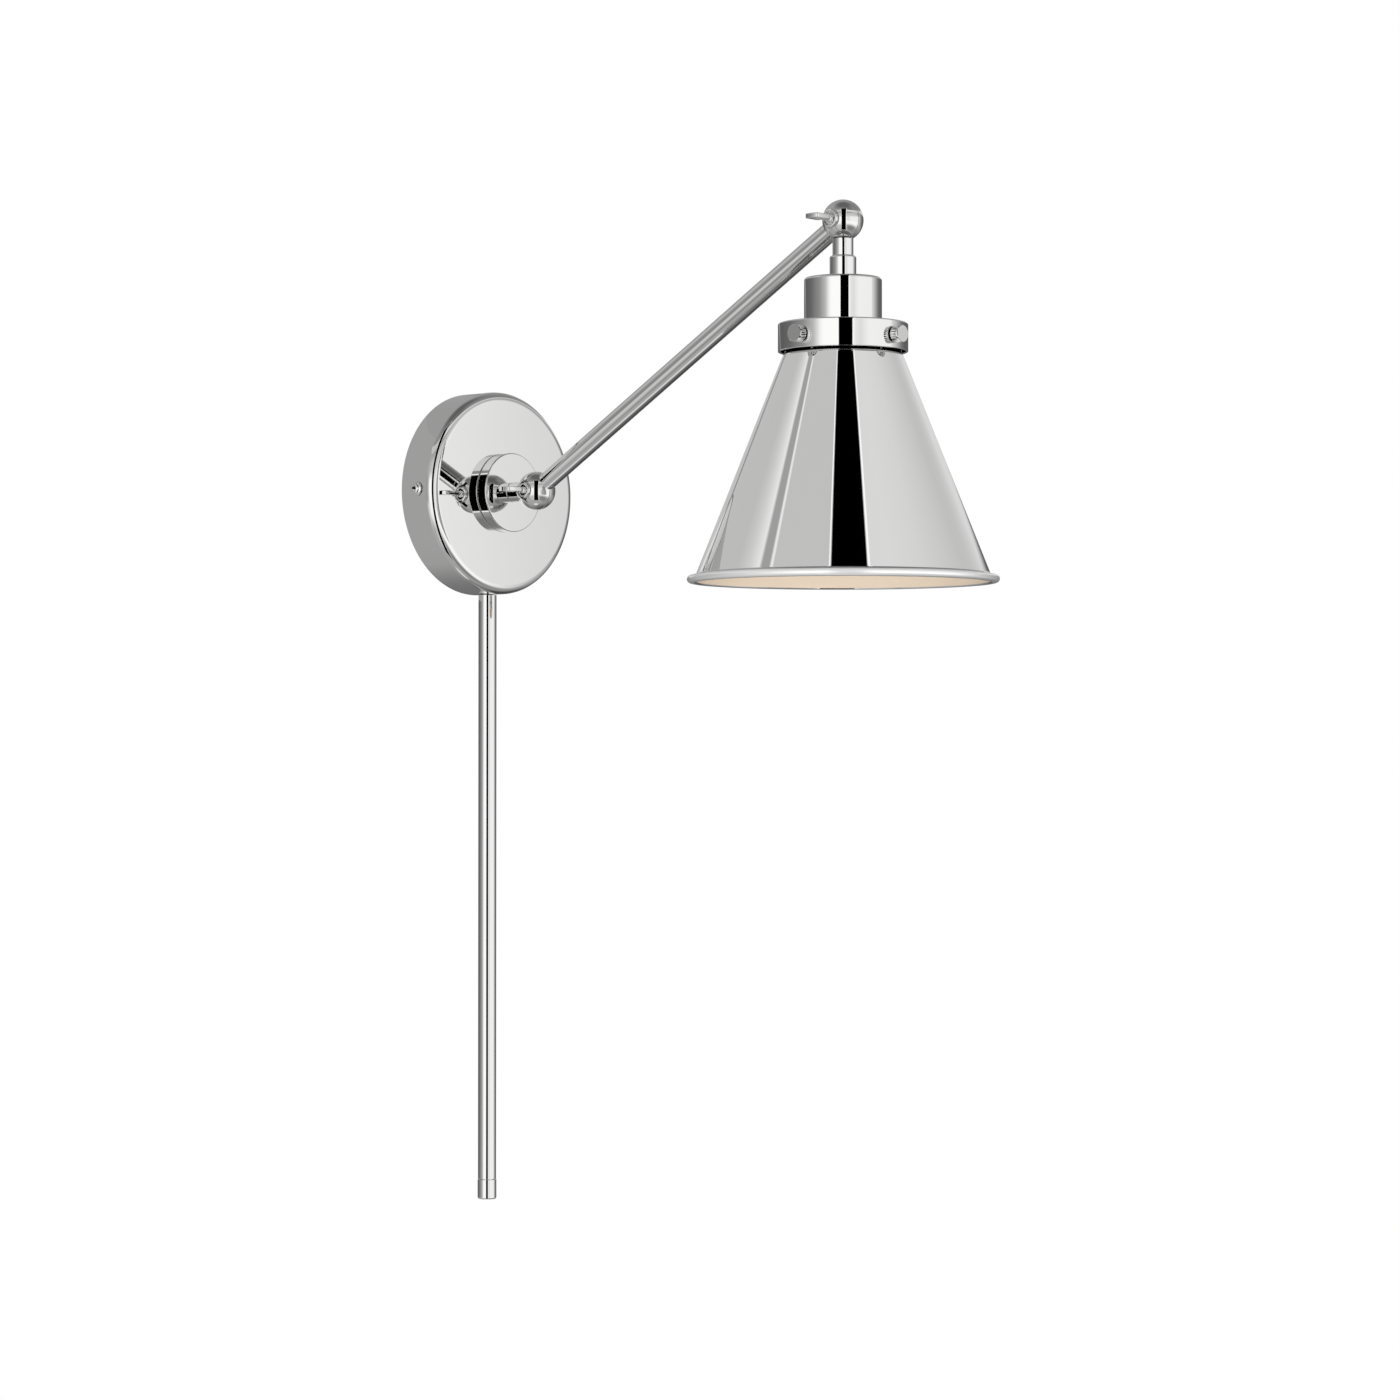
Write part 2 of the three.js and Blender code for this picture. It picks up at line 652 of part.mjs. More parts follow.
function buildHead() {
  const group = new THREE.Group();
  group.position.set(0, upperY, upperZ);
  const ballHalf = makeBallHalf(1, NECK_RADIUS, NECK_END, STUD_RADIUS, 38.6, true);
  addPiece(group, "neck_knuckle", "nickel", ballHalf.mirror([0, 0, 1]));
  addPiece(group, "upper_knuckle_washer", "fibre", makeKnuckleWasher());
  addPiece(group, "neck_collar", "nickel", makeNeckCollar());
  addPiece(group, "socket_cup", "nickel", makeSocketCup());
  addPiece(group, "cup_nut", "brass", makeCupNut());
  addPiece(group, "neck_lead", "black", rod(2, -39.2, -LEAD_START, "z", 12));
  addPiece(group, "gallery_ring", "nickel", makeGallery());
  addPiece(group, "clamp_ring", "steel", makeClampRing());
  addPiece(group, "lamp_holder", "ceramic", makeSocketBody());
  addPiece(group, "lamp_holder_shell", "brass", makeSocketShell());
  addPiece(group, "centre_contact", "brass", makeCentreContact());
  addPiece(group, "lamp_cap", "steel", makeLampCap());
  addPiece(group, "lamp_glass", "opal", makeLampGlass());
  addPiece(group, "shade", "nickel", makeShade());
  for (let i = 0; i < 4; i += 1) {
    const screw = addPiece(group, `thumbscrew_${i + 1}`, "nickel", makeThumbscrew());
    screw.position.z = -SCREW_LEVEL;
    screw.rotation.z = (i * Math.PI) / 2;
  }
  return group;
}

const sconce = new THREE.Group();
sconce.add(buildWallMount(), buildHub(), buildArm(), buildHead());
addPiece(sconce, "lower_key", "nickel", makeKey()).position.set(0, KNUCKLE_Y, 0);
addPiece(sconce, "upper_key", "nickel", makeKey()).position.set(0, upperY, upperZ);

export default sconce;
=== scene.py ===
"""Swing arm wall sconce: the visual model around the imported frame.

Metres, +Z up. The wall is the plane y = 0 and the light stands out along -Y. Profiles are written in
millimetres: corners are (radius, distance along the axis, fillet radius).
"""
import json
import math

import bmesh
import bpy
from mathutils import Matrix, Vector


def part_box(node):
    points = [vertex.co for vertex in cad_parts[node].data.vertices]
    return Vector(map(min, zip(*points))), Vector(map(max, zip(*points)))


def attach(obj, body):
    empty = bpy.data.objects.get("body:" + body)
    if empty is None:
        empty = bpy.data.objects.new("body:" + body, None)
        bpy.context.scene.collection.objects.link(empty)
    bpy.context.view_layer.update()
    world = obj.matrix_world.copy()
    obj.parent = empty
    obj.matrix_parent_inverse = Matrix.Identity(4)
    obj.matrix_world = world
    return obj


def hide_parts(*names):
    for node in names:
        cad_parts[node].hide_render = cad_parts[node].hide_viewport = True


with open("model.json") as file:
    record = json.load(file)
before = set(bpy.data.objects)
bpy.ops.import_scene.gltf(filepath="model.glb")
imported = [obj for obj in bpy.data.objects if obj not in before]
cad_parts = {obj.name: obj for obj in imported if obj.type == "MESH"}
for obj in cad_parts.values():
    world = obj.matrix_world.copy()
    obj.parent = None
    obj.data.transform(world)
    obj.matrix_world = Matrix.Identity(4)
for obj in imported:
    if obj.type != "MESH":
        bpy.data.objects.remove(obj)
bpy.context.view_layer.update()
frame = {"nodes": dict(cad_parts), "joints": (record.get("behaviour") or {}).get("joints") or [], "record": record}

MM = 0.001
WELD = 1e-7  # metres between points that count as one
ON_AXIS = 1e-6  # mm from the axis for a point that counts as on it
SHARP_ANGLE = math.radians(28)
SUPPORT = 0.1  # mm from a fillet to the extra ring that keeps the flat beside it flat

OUT = Vector((0, -1, 0))
INTO_WALL = Vector((0, 1, 0))
UP = Vector((0, 0, 1))
DOWN = Vector((0, 0, -1))
RIGHT = Vector((1, 0, 0))
LEFT = Vector((-1, 0, 0))

# ---- the frame's own sizes -----------------------------------------------------------------------
RECORD = frame["record"]
BODY_OF = {node: body for body, nodes in RECORD["behaviour"]["bodies"].items() for node in nodes}
PIVOTS = {joint["name"]: Vector(joint["pos_m"]) for joint in frame["joints"]}
WALL = Vector((0, 0, 0))  # where the hub's axis meets the wall
LOWER_BALL = PIVOTS["lower_elbow"]
UPPER_BALL = PIVOTS["upper_elbow"]
ARM_AXIS = (UPPER_BALL - LOWER_BALL).normalized()
ARM_LENGTH = (UPPER_BALL - LOWER_BALL).length / MM


def span(node, axis):
    """A node's lowest and highest coordinate along an axis, in millimetres."""
    low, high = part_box(node)
    return low[axis] / MM, high[axis] / MM


def radius_of(node, axis=0):
    """Half a node's size along an axis."""
    low, high = span(node, axis)
    return (high - low) / 2


def out_from_wall(node):
    """How far out from the wall a node starts and ends."""
    low, high = span(node, 1)
    return -high, -low


def below_ball(node):
    """How far below the upper ball's centre a node starts and ends."""
    low, high = span(node, 2)
    return UPPER_BALL.z / MM - high, UPPER_BALL.z / MM - low


def below_origin(node):
    """How far below the hub's axis a node starts and ends."""
    low, high = span(node, 2)
    return -high, -low


# sizes in millimetres
GAP = 0.3  # round a screw or stud in its hole, and between the halves of a ball
SHANK_RADIUS = 2.0  # of the canopy screws, keys and thumbscrews
STUD_RADIUS = 4.8
STUD_BORE = STUD_RADIUS + GAP
BALL_RADIUS = span("neck_knuckle", 2)[1] - UPPER_BALL.z / MM
BALL_FLAT = 10.0  # from the ball's centre to the face that a key's collar sits on
BALL_CLEARANCE = 0.35  # between a neck and the other half of its ball
NECK_START = 6.0  # inside the ball, from its centre
ARM_RADIUS = radius_of("arm_tube")
NIPPLE_HOLE = 4.0  # in the canopy and in the cover tube's top
CORD_WAY = 3.0  # the bore left open for a cord

# places in metres
SCREW_CENTRE = UPPER_BALL + DOWN * (UPPER_BALL.z / MM - sum(span("thumbscrew_1", 2)) / 2) * MM
SCREW_AXES = (RIGHT, INTO_WALL, LEFT, OUT)
SIDE_SCREW = Vector((0, sum(span("canopy_screw_left", 1)) / 2 * MM, 0))
TUBE_TOP = Vector((0, sum(span("cord_cover_tube", 1)) / 2 * MM, 0))


# ---- camera --------------------------------------------------------------------------------------
def make_camera():
    """Looks a little upwards from the front left, and returns its heading."""
    heading = math.radians(48.5)  # from +Y towards +X
    pitch = math.radians(0.95)
    data = bpy.data.cameras.new("camera")
    data.sensor_width = 36
    data.lens = 101.6
    data.clip_start = 0.05
    data.clip_end = 50
    camera = bpy.data.objects.new("camera", data)
    camera.location = (-1.6871, -1.6743, -0.1626)
    camera.rotation_euler = (math.pi / 2 + pitch, 0, -heading)
    bpy.context.scene.collection.objects.link(camera)
    bpy.context.scene.camera = camera
    return heading


CAMERA_HEADING = make_camera()


# ---- mesh helpers --------------------------------------------------------------------------------
def place(origin, axis):
    """The matrix that puts local +Z along axis at origin."""
    turn = Vector(axis).to_track_quat("Z", "Y").to_matrix().to_4x4()
    return Matrix.Translation(origin) @ turn


def arc(centre_radius, centre_height, radius, start, end, steps):
    """Points on part of a circle in a profile, from one angle in degrees to another."""
    points = []
    for i in range(steps + 1):
        angle = math.radians(start + (end - start) * i / steps)
        points.append((centre_radius + radius * math.cos(angle), centre_height + radius * math.sin(angle)))
    return points


def smooth_curve(points, steps):
    """A Catmull-Rom curve through points of any dimension, with so many steps between two."""
    points = [Vector(p) for p in points]
    ends = [points[0] * 2 - points[1], *points, points[-1] * 2 - points[-2]]
    made = []
    for a, b, c, d in zip(ends, ends[1:], ends[2:], ends[3:]):
        for i in range(steps):
            t = i / steps
            made.append(0.5 * (2 * b + (c - a) * t + (2 * a - 5 * b + 4 * c - d) * t * t
                               + (3 * b - a - 3 * c + d) * t ** 3))
    return [*made, points[-1]]


def filleted(corners, steps=6):
    """Rounds each corner that gives a fillet radius, with a support ring beside each arc."""
    made = []
    for i, corner in enumerate(corners):
        here = Vector(corner[:2])
        fillet = corner[2] if len(corner) > 2 else 0
        if not fillet:
            made.append(here)
            continue
        back = (Vector(corners[i - 1][:2]) - here).normalized()
        ahead = (Vector(corners[(i + 1) % len(corners)][:2]) - here).normalized()
        half = back.angle(ahead) / 2
        centre = here + (back + ahead).normalized() * fillet / math.sin(half)
        start = here + back * fillet / math.tan(half)
        end = here + ahead * fillet / math.tan(half)
        made.append(start + back * SUPPORT)
        for step in range(steps + 1):
            turn = (end - centre).angle_signed(start - centre) * step / steps
            made.append(centre + Matrix.Rotation(turn, 2) @ (start - centre))
        made.append(end + ahead * SUPPORT)
    return made


def with_rings(points, longest=10.0):
    """Adds rings along straight stretches, so that no face is long and thin."""
    made = [points[0]]
    for here, ahead in zip(points, points[1:]):
        count = 1
        if here[0] > 0 and ahead[0] > 0:
            count = math.ceil((ahead - here).length / longest)
        made += [here.lerp(ahead, (i + 1) / count) for i in range(count)]
    return made


def mark_sharp(bm):
    """Shades the faces smooth across every edge that turns less than SHARP_ANGLE."""
    for each in bm.faces:
        each.smooth = True
    for edge in bm.edges:
        edge.smooth = len(edge.link_faces) != 2 or edge.calc_face_angle(0) < SHARP_ANGLE


def to_object(name, bm, material):
    """An object with the mesh, which is used up."""
    bmesh.ops.remove_doubles(bm, verts=bm.verts, dist=WELD)
    bmesh.ops.recalc_face_normals(bm, faces=bm.faces)
    mark_sharp(bm)
    mesh = bpy.data.meshes.new(name)
    bm.to_mesh(mesh)
    bm.free()
    mesh.materials.append(material)
    piece = bpy.data.objects.new(name, mesh)
    bpy.context.scene.collection.objects.link(piece)
    return piece


def add_faces(bm, ring_a, ring_b):
    """Quads between two rings of points, or a fan of triangles where one ring is a single point."""
    count = max(len(ring_a), len(ring_b))
    for i in range(count):
        j = (i + 1) % count
        if len(ring_a) == 1:
            bm.faces.new((ring_a[0], ring_b[j], ring_b[i]))
        elif len(ring_b) == 1:
            bm.faces.new((ring_a[i], ring_a[j], ring_b[0]))
        else:
            bm.faces.new((ring_a[i], ring_a[j], ring_b[j], ring_b[i]))


def lathe(name, corners, origin, axis, material, segments=96, wobble=None):
    """A body of revolution, from corners in millimetres. A profile that doesn't start and end on
    the axis closes on itself. wobble(radius, height, angle) may change the radius of each point."""
    bm = bmesh.new()
    frame_matrix = place(origin, axis)
    rings = []
    for radius, height in with_rings([Vector(point) for point in filleted(corners)]):
        if radius < ON_AXIS:
            rings.append([bm.verts.new(frame_matrix @ Vector((0, 0, height * MM)))])
            continue
        ring = []
        for i in range(segments):
            angle = 2 * math.pi * i / segments
            r = (wobble(radius, height, angle) if wobble else radius) * MM
            point = Vector((r * math.cos(angle), r * math.sin(angle), height * MM))
            ring.append(bm.verts.new(frame_matrix @ point))
        rings.append(ring)
    for ring_a, ring_b in zip(rings, rings[1:]):
        add_faces(bm, ring_a, ring_b)
    if len(rings[0]) > 1:
        add_faces(bm, rings[-1], rings[0])
    return to_object(name, bm, material)


def prism(name, outline, low, high, matrix, material, bevel=0.0):
    """A flat outline in millimetres pushed from low to high along local Z, its sharp edges rounded
    by the bevel."""
    bm = bmesh.new()
    base = [bm.verts.new((u * MM, v * MM, low * MM)) for u, v in outline]
    bottom = bm.faces.new(base)
    lifted = bmesh.ops.extrude_face_region(bm, geom=[bottom])
    top = [v for v in lifted["geom"] if isinstance(v, bmesh.types.BMVert)]
    bmesh.ops.translate(bm, verts=top, vec=(0, 0, (high - low) * MM))
    bmesh.ops.recalc_face_normals(bm, faces=bm.faces)
    if bevel:
        edges = [e for e in bm.edges if e.calc_face_angle(0) > SHARP_ANGLE]
        bmesh.ops.bevel(bm, geom=edges, offset=bevel * MM, segments=4, profile=0.5, affect="EDGES")
    bmesh.ops.transform(bm, matrix=matrix, verts=bm.verts)
    return to_object(name, bm, material)


def hexagon(across_flats):
    """The outline of a hexagon, which is across_flats wide between two parallel sides."""
    corner = across_flats / math.sqrt(3)
    angles = [math.radians(60 * i) for i in range(6)]
    return [(corner * math.cos(angle), corner * math.sin(angle)) for angle in angles]


def combine(piece, other, operation):
    """Joins or cuts piece with other, which is used up."""
    modifier = piece.modifiers.new("boolean", "BOOLEAN")
    modifier.object = other
    modifier.operation = operation
    modifier.solver = "EXACT"
    depsgraph = bpy.context.evaluated_depsgraph_get()
    mesh = bpy.data.meshes.new_from_object(piece.evaluated_get(depsgraph))
    piece.modifiers.clear()
    old = piece.data
    piece.data = mesh
    bpy.data.meshes.remove(old)
    mesh.name = piece.name
    bpy.data.objects.remove(other)
    bm = bmesh.new()
    bm.from_mesh(mesh)
    bmesh.ops.remove_doubles(bm, verts=bm.verts, dist=2 * WELD)
    mark_sharp(bm)
    bm.to_mesh(mesh)
    bm.free()
    return piece


def drill(piece, origin, axis, radius, wall):
    """Cuts a round hole through a wall that stands so far from the origin along the axis."""
    reach = 5
    low, high = wall - reach, wall + reach
    corners = [(0, low), (radius, low), (radius, high), (0, high)]
    tool = lathe("drill", corners, origin, axis, piece.data.materials[0], 48)
    combine(piece, tool, "DIFFERENCE")


def tube_along(name, points, radius, material, sides=20):
    """A round wire through points in millimetres, with closed ends."""
    bm = bmesh.new()
    path = [Vector(p) * MM for p in smooth_curve(points, steps=10)]
    side = (path[1] - path[0]).orthogonal().normalized()
    rings = []
    for i, point in enumerate(path):
        ahead = (path[min(i + 1, len(path) - 1)] - path[max(i - 1, 0)]).normalized()
        side = (side - ahead * side.dot(ahead)).normalized()
        other = ahead.cross(side)
        ring = []
        for k in range(sides):
            angle = 2 * math.pi * k / sides
            spoke = side * math.cos(angle) + other * math.sin(angle)
            ring.append(bm.verts.new(point + spoke * radius * MM))
        rings.append(ring)
    for ring_a, ring_b in zip(rings, rings[1:]):
        add_faces(bm, ring_a, ring_b)
    bm.faces.new(rings[0])
    bm.faces.new(rings[-1])
    return to_object(name, bm, material)


def repaint(piece, material, origin, axis, chosen):
    """Gives a lathed piece's faces another material where chosen(radius, height) holds, in mm."""
    piece.data.materials.append(material)
    painted = len(piece.data.materials) - 1
    for face in piece.data.polygons:
        offset = piece.matrix_world @ face.center - origin
        height = offset.dot(axis)
        radius = (offset - height * axis).length
        if chosen(radius / MM, height / MM):
            face.material_index = painted


def refined(node, material, bevel):
    """A finer copy of a CAD node: facets merged, edges rounded, and round walls shaded smooth."""
    flat = math.radians(1)
    corner = math.radians(35)  # more than a round wall turns between two facets
    bm = bmesh.new()
    bm.from_mesh(frame["nodes"][node].data)
    bmesh.ops.remove_doubles(bm, verts=bm.verts, dist=10 * WELD)
    bmesh.ops.dissolve_limit(bm, angle_limit=flat, verts=bm.verts, edges=bm.edges)
    edges = [e for e in bm.edges if len(e.link_faces) == 2 and e.calc_face_angle(0) > corner]
    bmesh.ops.bevel(bm, geom=edges, offset=bevel * MM, segments=2, profile=0.5, affect="EDGES",
                    clamp_overlap=True)
    return to_object(f"{node}_fine", bm, material)


def rising(distance, length):
    """A ramp that is 0 up to a distance of 0 and 1 from length on."""
    return min(1, max(0, distance / length))


def thread(pitch, depth, core=3.3):
    """A helical thread cut into a lathe outside its core's radius."""
    def wobble(radius, height, angle):
        if radius < core:
            return radius
        phase = (height / pitch - angle / (2 * math.pi)) % 1
        return radius - depth * (1 - abs(2 * phase - 1))
    return wobble


def threaded_profile(corners, step=0.25, margin=0.6):
    """Splits the profile's long outer stretch, up to a margin at each end, so that a thread can be
    cut into it."""
    shortest = 2
    made = []
    for corner, following in zip(corners, [*corners[1:], corners[0]]):
        made.append(corner)
        length = following[1] - corner[1]
        if corner[0] == following[0] and length > shortest:
            count = int((length - 2 * margin) / step)
            made += [(corner[0], corner[1] + margin + step * i) for i in range(count + 1)]
    return made


def stand_for(piece, node):
    """The piece rides on its node's body, and is shown instead of it."""
    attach(piece, BODY_OF[node])
    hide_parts(node)


def turned_part(node, *shape):
    """A lathed piece that stands for a node. shape is what lathe takes after the name."""
    stand_for(lathe(f"{node}_fine", *shape), node)


# ---- materials -----------------------------------------------------------------------------------
def feed(tree, socket, value):
    """Links a socket to another one, or sets it to a constant."""
    if isinstance(value, bpy.types.NodeSocket):
        tree.links.new(value, socket)
    else:
        socket.default_value = value


def mixed(tree, factor, first, second):
    """A colour between two others, each of them a socket or a constant."""
    node = tree.nodes.new("ShaderNodeMix")
    node.data_type = "RGBA"
    # a Mix node has inputs called A and B for each type of value: 6 and 7 are its colours
    for index, value in ((0, factor), (6, first), (7, second)):
        feed(tree, node.inputs[index], value)
    return node.outputs[2]


def surface(name, colour, roughness, metallic=0.0, shade=0.03, spread=0.02, grain=300.0, relief=0.0,
            stretch=(1, 1, 1), **sockets):
    """A procedural finish. shade varies the colour, spread the roughness and relief, in
    micrometres, the height, all by noise with grain features to the metre."""
    noise_low = 0.3
    noise_high = 0.7
    material = bpy.data.materials.new(name)
    material.use_nodes = True
    tree = material.node_tree
    nodes, links = tree.nodes, tree.links
    shader = nodes["Principled BSDF"]
    shader.inputs["Metallic"].default_value = metallic
    for socket, value in sockets.items():
        shader.inputs[socket.replace("_", " ").title()].default_value = value
    coordinates = nodes.new("ShaderNodeTexCoord")
    mapping = nodes.new("ShaderNodeMapping")
    mapping.inputs["Scale"].default_value = stretch
    links.new(coordinates.outputs["Object"], mapping.inputs["Vector"])

    def noise(scale, detail):
        node = nodes.new("ShaderNodeTexNoise")
        node.inputs["Scale"].default_value = scale
        node.inputs["Detail"].default_value = detail
        links.new(mapping.outputs["Vector"], node.inputs["Vector"])
        return node.outputs["Fac"]

    clouds = noise(scale=grain / 6, detail=3)
    fine = noise(scale=grain, detail=5)
    dark = [channel * (1 - shade) for channel in colour]
    light = [min(1, channel * (1 + shade)) for channel in colour]
    links.new(mixed(tree, clouds, (*dark, 1), (*light, 1)), shader.inputs["Base Color"])
    gloss = nodes.new("ShaderNodeMapRange")
    gloss.inputs["From Min"].default_value = noise_low
    gloss.inputs["From Max"].default_value = noise_high
    gloss.inputs["To Min"].default_value = max(0, roughness - spread)
    gloss.inputs["To Max"].default_value = roughness + spread
    links.new(fine, gloss.inputs["Value"])
    links.new(gloss.outputs["Result"], shader.inputs["Roughness"])
    if relief:
        bump = nodes.new("ShaderNodeBump")
        bump.inputs["Strength"].default_value = 1
        bump.inputs["Distance"].default_value = relief * 1e-6
        links.new(fine, bump.inputs["Height"])
        links.new(bump.outputs["Normal"], shader.inputs["Normal"])
    return material


# name, colour, roughness, metallic, shade, spread, grain, relief
NICKEL = surface("nickel_plate", (0.86, 0.86, 0.855), 0.022, 1.0, 0.012, 0.008, 220, 0.7)
# the rolled rim's copy of the plate: rougher, and made lighter and partly diffuse as a painted highlight
ROLLED_EDGE_HIGHLIGHT = surface("rolled_edge_painted_highlight", (0.95, 0.95, 0.945), 0.25, 0.5, 0.012, 0.008, 220, 0.7)
SATIN = surface("satin_inside_plate", (0.62, 0.62, 0.60), 0.42, 1.0, 0.06, 0.06, 500, 6)
STEEL = surface("zinc_plated_steel", (0.55, 0.56, 0.58), 0.34, 1.0, 0.10, 0.08, 900, 14)
BRUSHED = surface("spring_steel", (0.42, 0.43, 0.45), 0.30, 1.0, 0.08, 0.08, 700, 10, (6, 0.5, 0.5))
GREEN = surface("green_passivate", (0.06, 0.26, 0.10), 0.35, 0.7, 0.12, 0.08, 900, 10)
BRASS = surface("machined_brass", (0.72, 0.53, 0.24), 0.24, 1.0, 0.08, 0.07, 800, 8)
FIBRE = surface("pressed_fibre", (0.20, 0.06, 0.03), 0.75, 0.0, 0.30, 0.10, 1800, 60)
YELLOW = surface("connector_plastic", (0.70, 0.45, 0.05), 0.42, 0.0, 0.06, 0.08, 900, 20)
BLACK = surface("black_insulation", (0.018, 0.018, 0.019), 0.45, 0.0, 0.25, 0.10, 900, 25)
WHITE = surface("white_insulation", (0.80, 0.80, 0.78), 0.42, 0.0, 0.05, 0.08, 900, 20)
BUSH = surface("bush_plastic", (0.02, 0.02, 0.02), 0.5, 0.0, 0.25, 0.10, 1200, 25)
PORCELAIN = surface("glazed_porcelain", (0.85, 0.83, 0.78), 0.16, 0.0, 0.03, 0.05, 260, 25, coat_weight=0.4)
CAP_METAL = surface("lamp_cap_aluminium", (0.75, 0.75, 0.76), 0.28, 1.0, 0.06, 0.08, 1000, 8)
OPAL = surface("opal_glass", (0.95, 0.92, 0.86), 0.24, 0.0, 0.02, 0.05, 200, 5,
               emission_color=(1.0, 0.80, 0.56, 1), emission_strength=1.4)
ENAMEL = surface("cream_enamel", (0.90, 0.79, 0.66), 0.36, 0.0, 0.025, 0.06, 500, 22)


# ---- canopy, tube and the parts inside them ------------------------------------------------------
def build_canopy():
    """A round pan with holes for the hub's stud, the two side screws and the cord nipple."""
    back, front = out_from_wall("canopy")
    radius = radius_of("canopy")
    wall = 1.0
    edge = 5.2
    rim_edge = 0.3
    screw_hole = 2.4
    corners = [
        (STUD_BORE, front),
        (radius, front, edge),
        (radius, back, rim_edge),
        (radius - wall, back, rim_edge),
        (radius - wall, front - wall, edge - wall),
        (STUD_BORE, front - wall),
    ]
    canopy = lathe("canopy_fine", corners, WALL, OUT, NICKEL, 192)
    for side in (RIGHT, LEFT):
        drill(canopy, SIDE_SCREW, side, screw_hole, radius)
    drill(canopy, TUBE_TOP, DOWN, NIPPLE_HOLE, radius)

    def inside(at, height):
        """Whether a face lies on the inner side of the wall's middle."""
        if at < radius - edge or height < front - edge:
            return at < radius - wall / 2 and height < front - wall / 2
        return math.hypot(at - radius + edge, height - front + edge) < edge - wall / 2

    repaint(canopy, SATIN, WALL, OUT, inside)
    stand_for(canopy, "canopy")


def build_canopy_screw(node, side):
    """A button head with a hex socket."""
    low, high = span(node, 0)
    tip, top = sorted((abs(low), abs(high)))
    head = radius_of(node, 1)
    head_height = 2.4
    seat = top - head_height
    socket_floor = seat + 0.2
    socket_width = 2.9
    corners = [
        (0, tip),
        (SHANK_RADIUS - 0.3, tip, 0.3),
        (SHANK_RADIUS, tip + 0.7),
        (SHANK_RADIUS, seat),
        (head, seat, 0.2),
        (head, seat + 0.9, 0.5),
        (head - 1.1, seat + 1.5, 0.4),
        (head - 1.5, seat + 2.0, 0.2),
        (SHANK_RADIUS, top, 0.3),
        (0, top),
    ]
    screw = lathe(f"{node}_fine", corners, SIDE_SCREW, side, NICKEL, 72)
    matrix = place(SIDE_SCREW, side)
    socket = prism("socket", hexagon(socket_width), socket_floor, top + 1, matrix, NICKEL)
    combine(screw, socket, "DIFFERENCE")
    stand_for(screw, node)


def build_cord_tube():
    """The straight tube that covers the cord below the canopy."""
    top, end = below_origin("cord_cover_tube")
    radius = radius_of("cord_cover_tube")
    wall = 1
    plug_end = top + 12  # the tube's thick top, which the nipple screws into
    corners = [
        (NIPPLE_HOLE, top),
        (radius, top, 0.1),
        (radius, end, 0.2),
        (radius - wall, end, 0.1),
        (radius - wall, plug_end),
        (NIPPLE_HOLE, plug_end),
    ]
    turned_part("cord_cover_tube", corners, TUBE_TOP, DOWN, NICKEL, 72)


def build_cord_cap():
    """The cap at the tube's end, which has a spigot inside the tube, and the bush inside the cap."""
    top, end = below_origin("cord_cover_cap")
    radius = radius_of("cord_cover_cap")
    bore = 3.65
    spigot = 4.1
    seam = below_origin("cord_cover_tube")[1] + 0.2
    corners = [
        (bore, top),
        (spigot, top, 0.2),
        (spigot, seam),
        (radius, seam, 0.25),
        (radius, end, 1.0),
        (bore, end, 0.3),
    ]
    turned_part("cord_cover_cap", corners, TUBE_TOP, DOWN, NICKEL, 72)

    top, end = below_origin("cord_bush")
    bush = 3.4
    corners = [(CORD_WAY, top), (bush, top), (bush, end, 0.15), (CORD_WAY, end, 0.2)]
    turned_part("cord_bush", corners, TUBE_TOP, DOWN, BUSH, 48)


def build_cord_nipple():
    """The hollow screw that joins the canopy and the tube."""
    top, end = below_origin("cord_tube_nipple")
    radius = NIPPLE_HOLE - GAP
    corners = threaded_profile([
        (CORD_WAY, top, 0.2),
        (radius, top, 0.3),
        (radius, end, 0.3),
        (CORD_WAY, end),
    ])
    cut = thread(pitch=1.0, depth=0.25)
    turned_part("cord_tube_nipple", corners, TUBE_TOP, DOWN, STEEL, 48, cut)


def build_inner_parts():
    """The parts whose CAD shape is enough: each takes a material and a bevel in millimetres."""
    finishes = {
        "mounting_strap": (STEEL, 0.35),
        "ground_screw": (GREEN, 0.2),
        "stop_pin_left": (STEEL, 0.25),
        "stop_pin_right": (STEEL, 0.25),
        "thrust_washer": (FIBRE, 0.1),
        "cord_tube_nut": (STEEL, 0.3),
        "stop_washer": (STEEL, 0.12),
        "wave_washer": (BRUSHED, 0.12),
        "hub_lock_nut": (BRASS, 0.35),
        "hub_jam_nut": (BRASS, 0.35),
        "lower_knuckle_washer": (FIBRE, 0.05),
        "upper_knuckle_washer": (FIBRE, 0.05),
        "cup_nut": (BRASS, 0.35),
        "clamp_ring": (STEEL, 0.25),
        "lamp_holder_shell": (BRASS, 0.08),
        "centre_contact": (BRASS, 0.1),
    }
    for node, (material, bevel) in finishes.items():
        stand_for(refined(node, material, bevel), node)


def build_wires():
    """The two conductors that come out of the stud and bend up to their connectors."""
    wire_radius = 1.0
    for side, node, material in ((-1, "wire_live", BLACK), (1, "wire_neutral", WHITE)):
        points = [(side * 1.2, -9.2, 0), (side * 3, -6.4, 7), (side * 11, -8.6, 17), (side * 13, -11, 26)]
        stand_for(tube_along(f"{node}_fine", points, wire_radius, material), node)


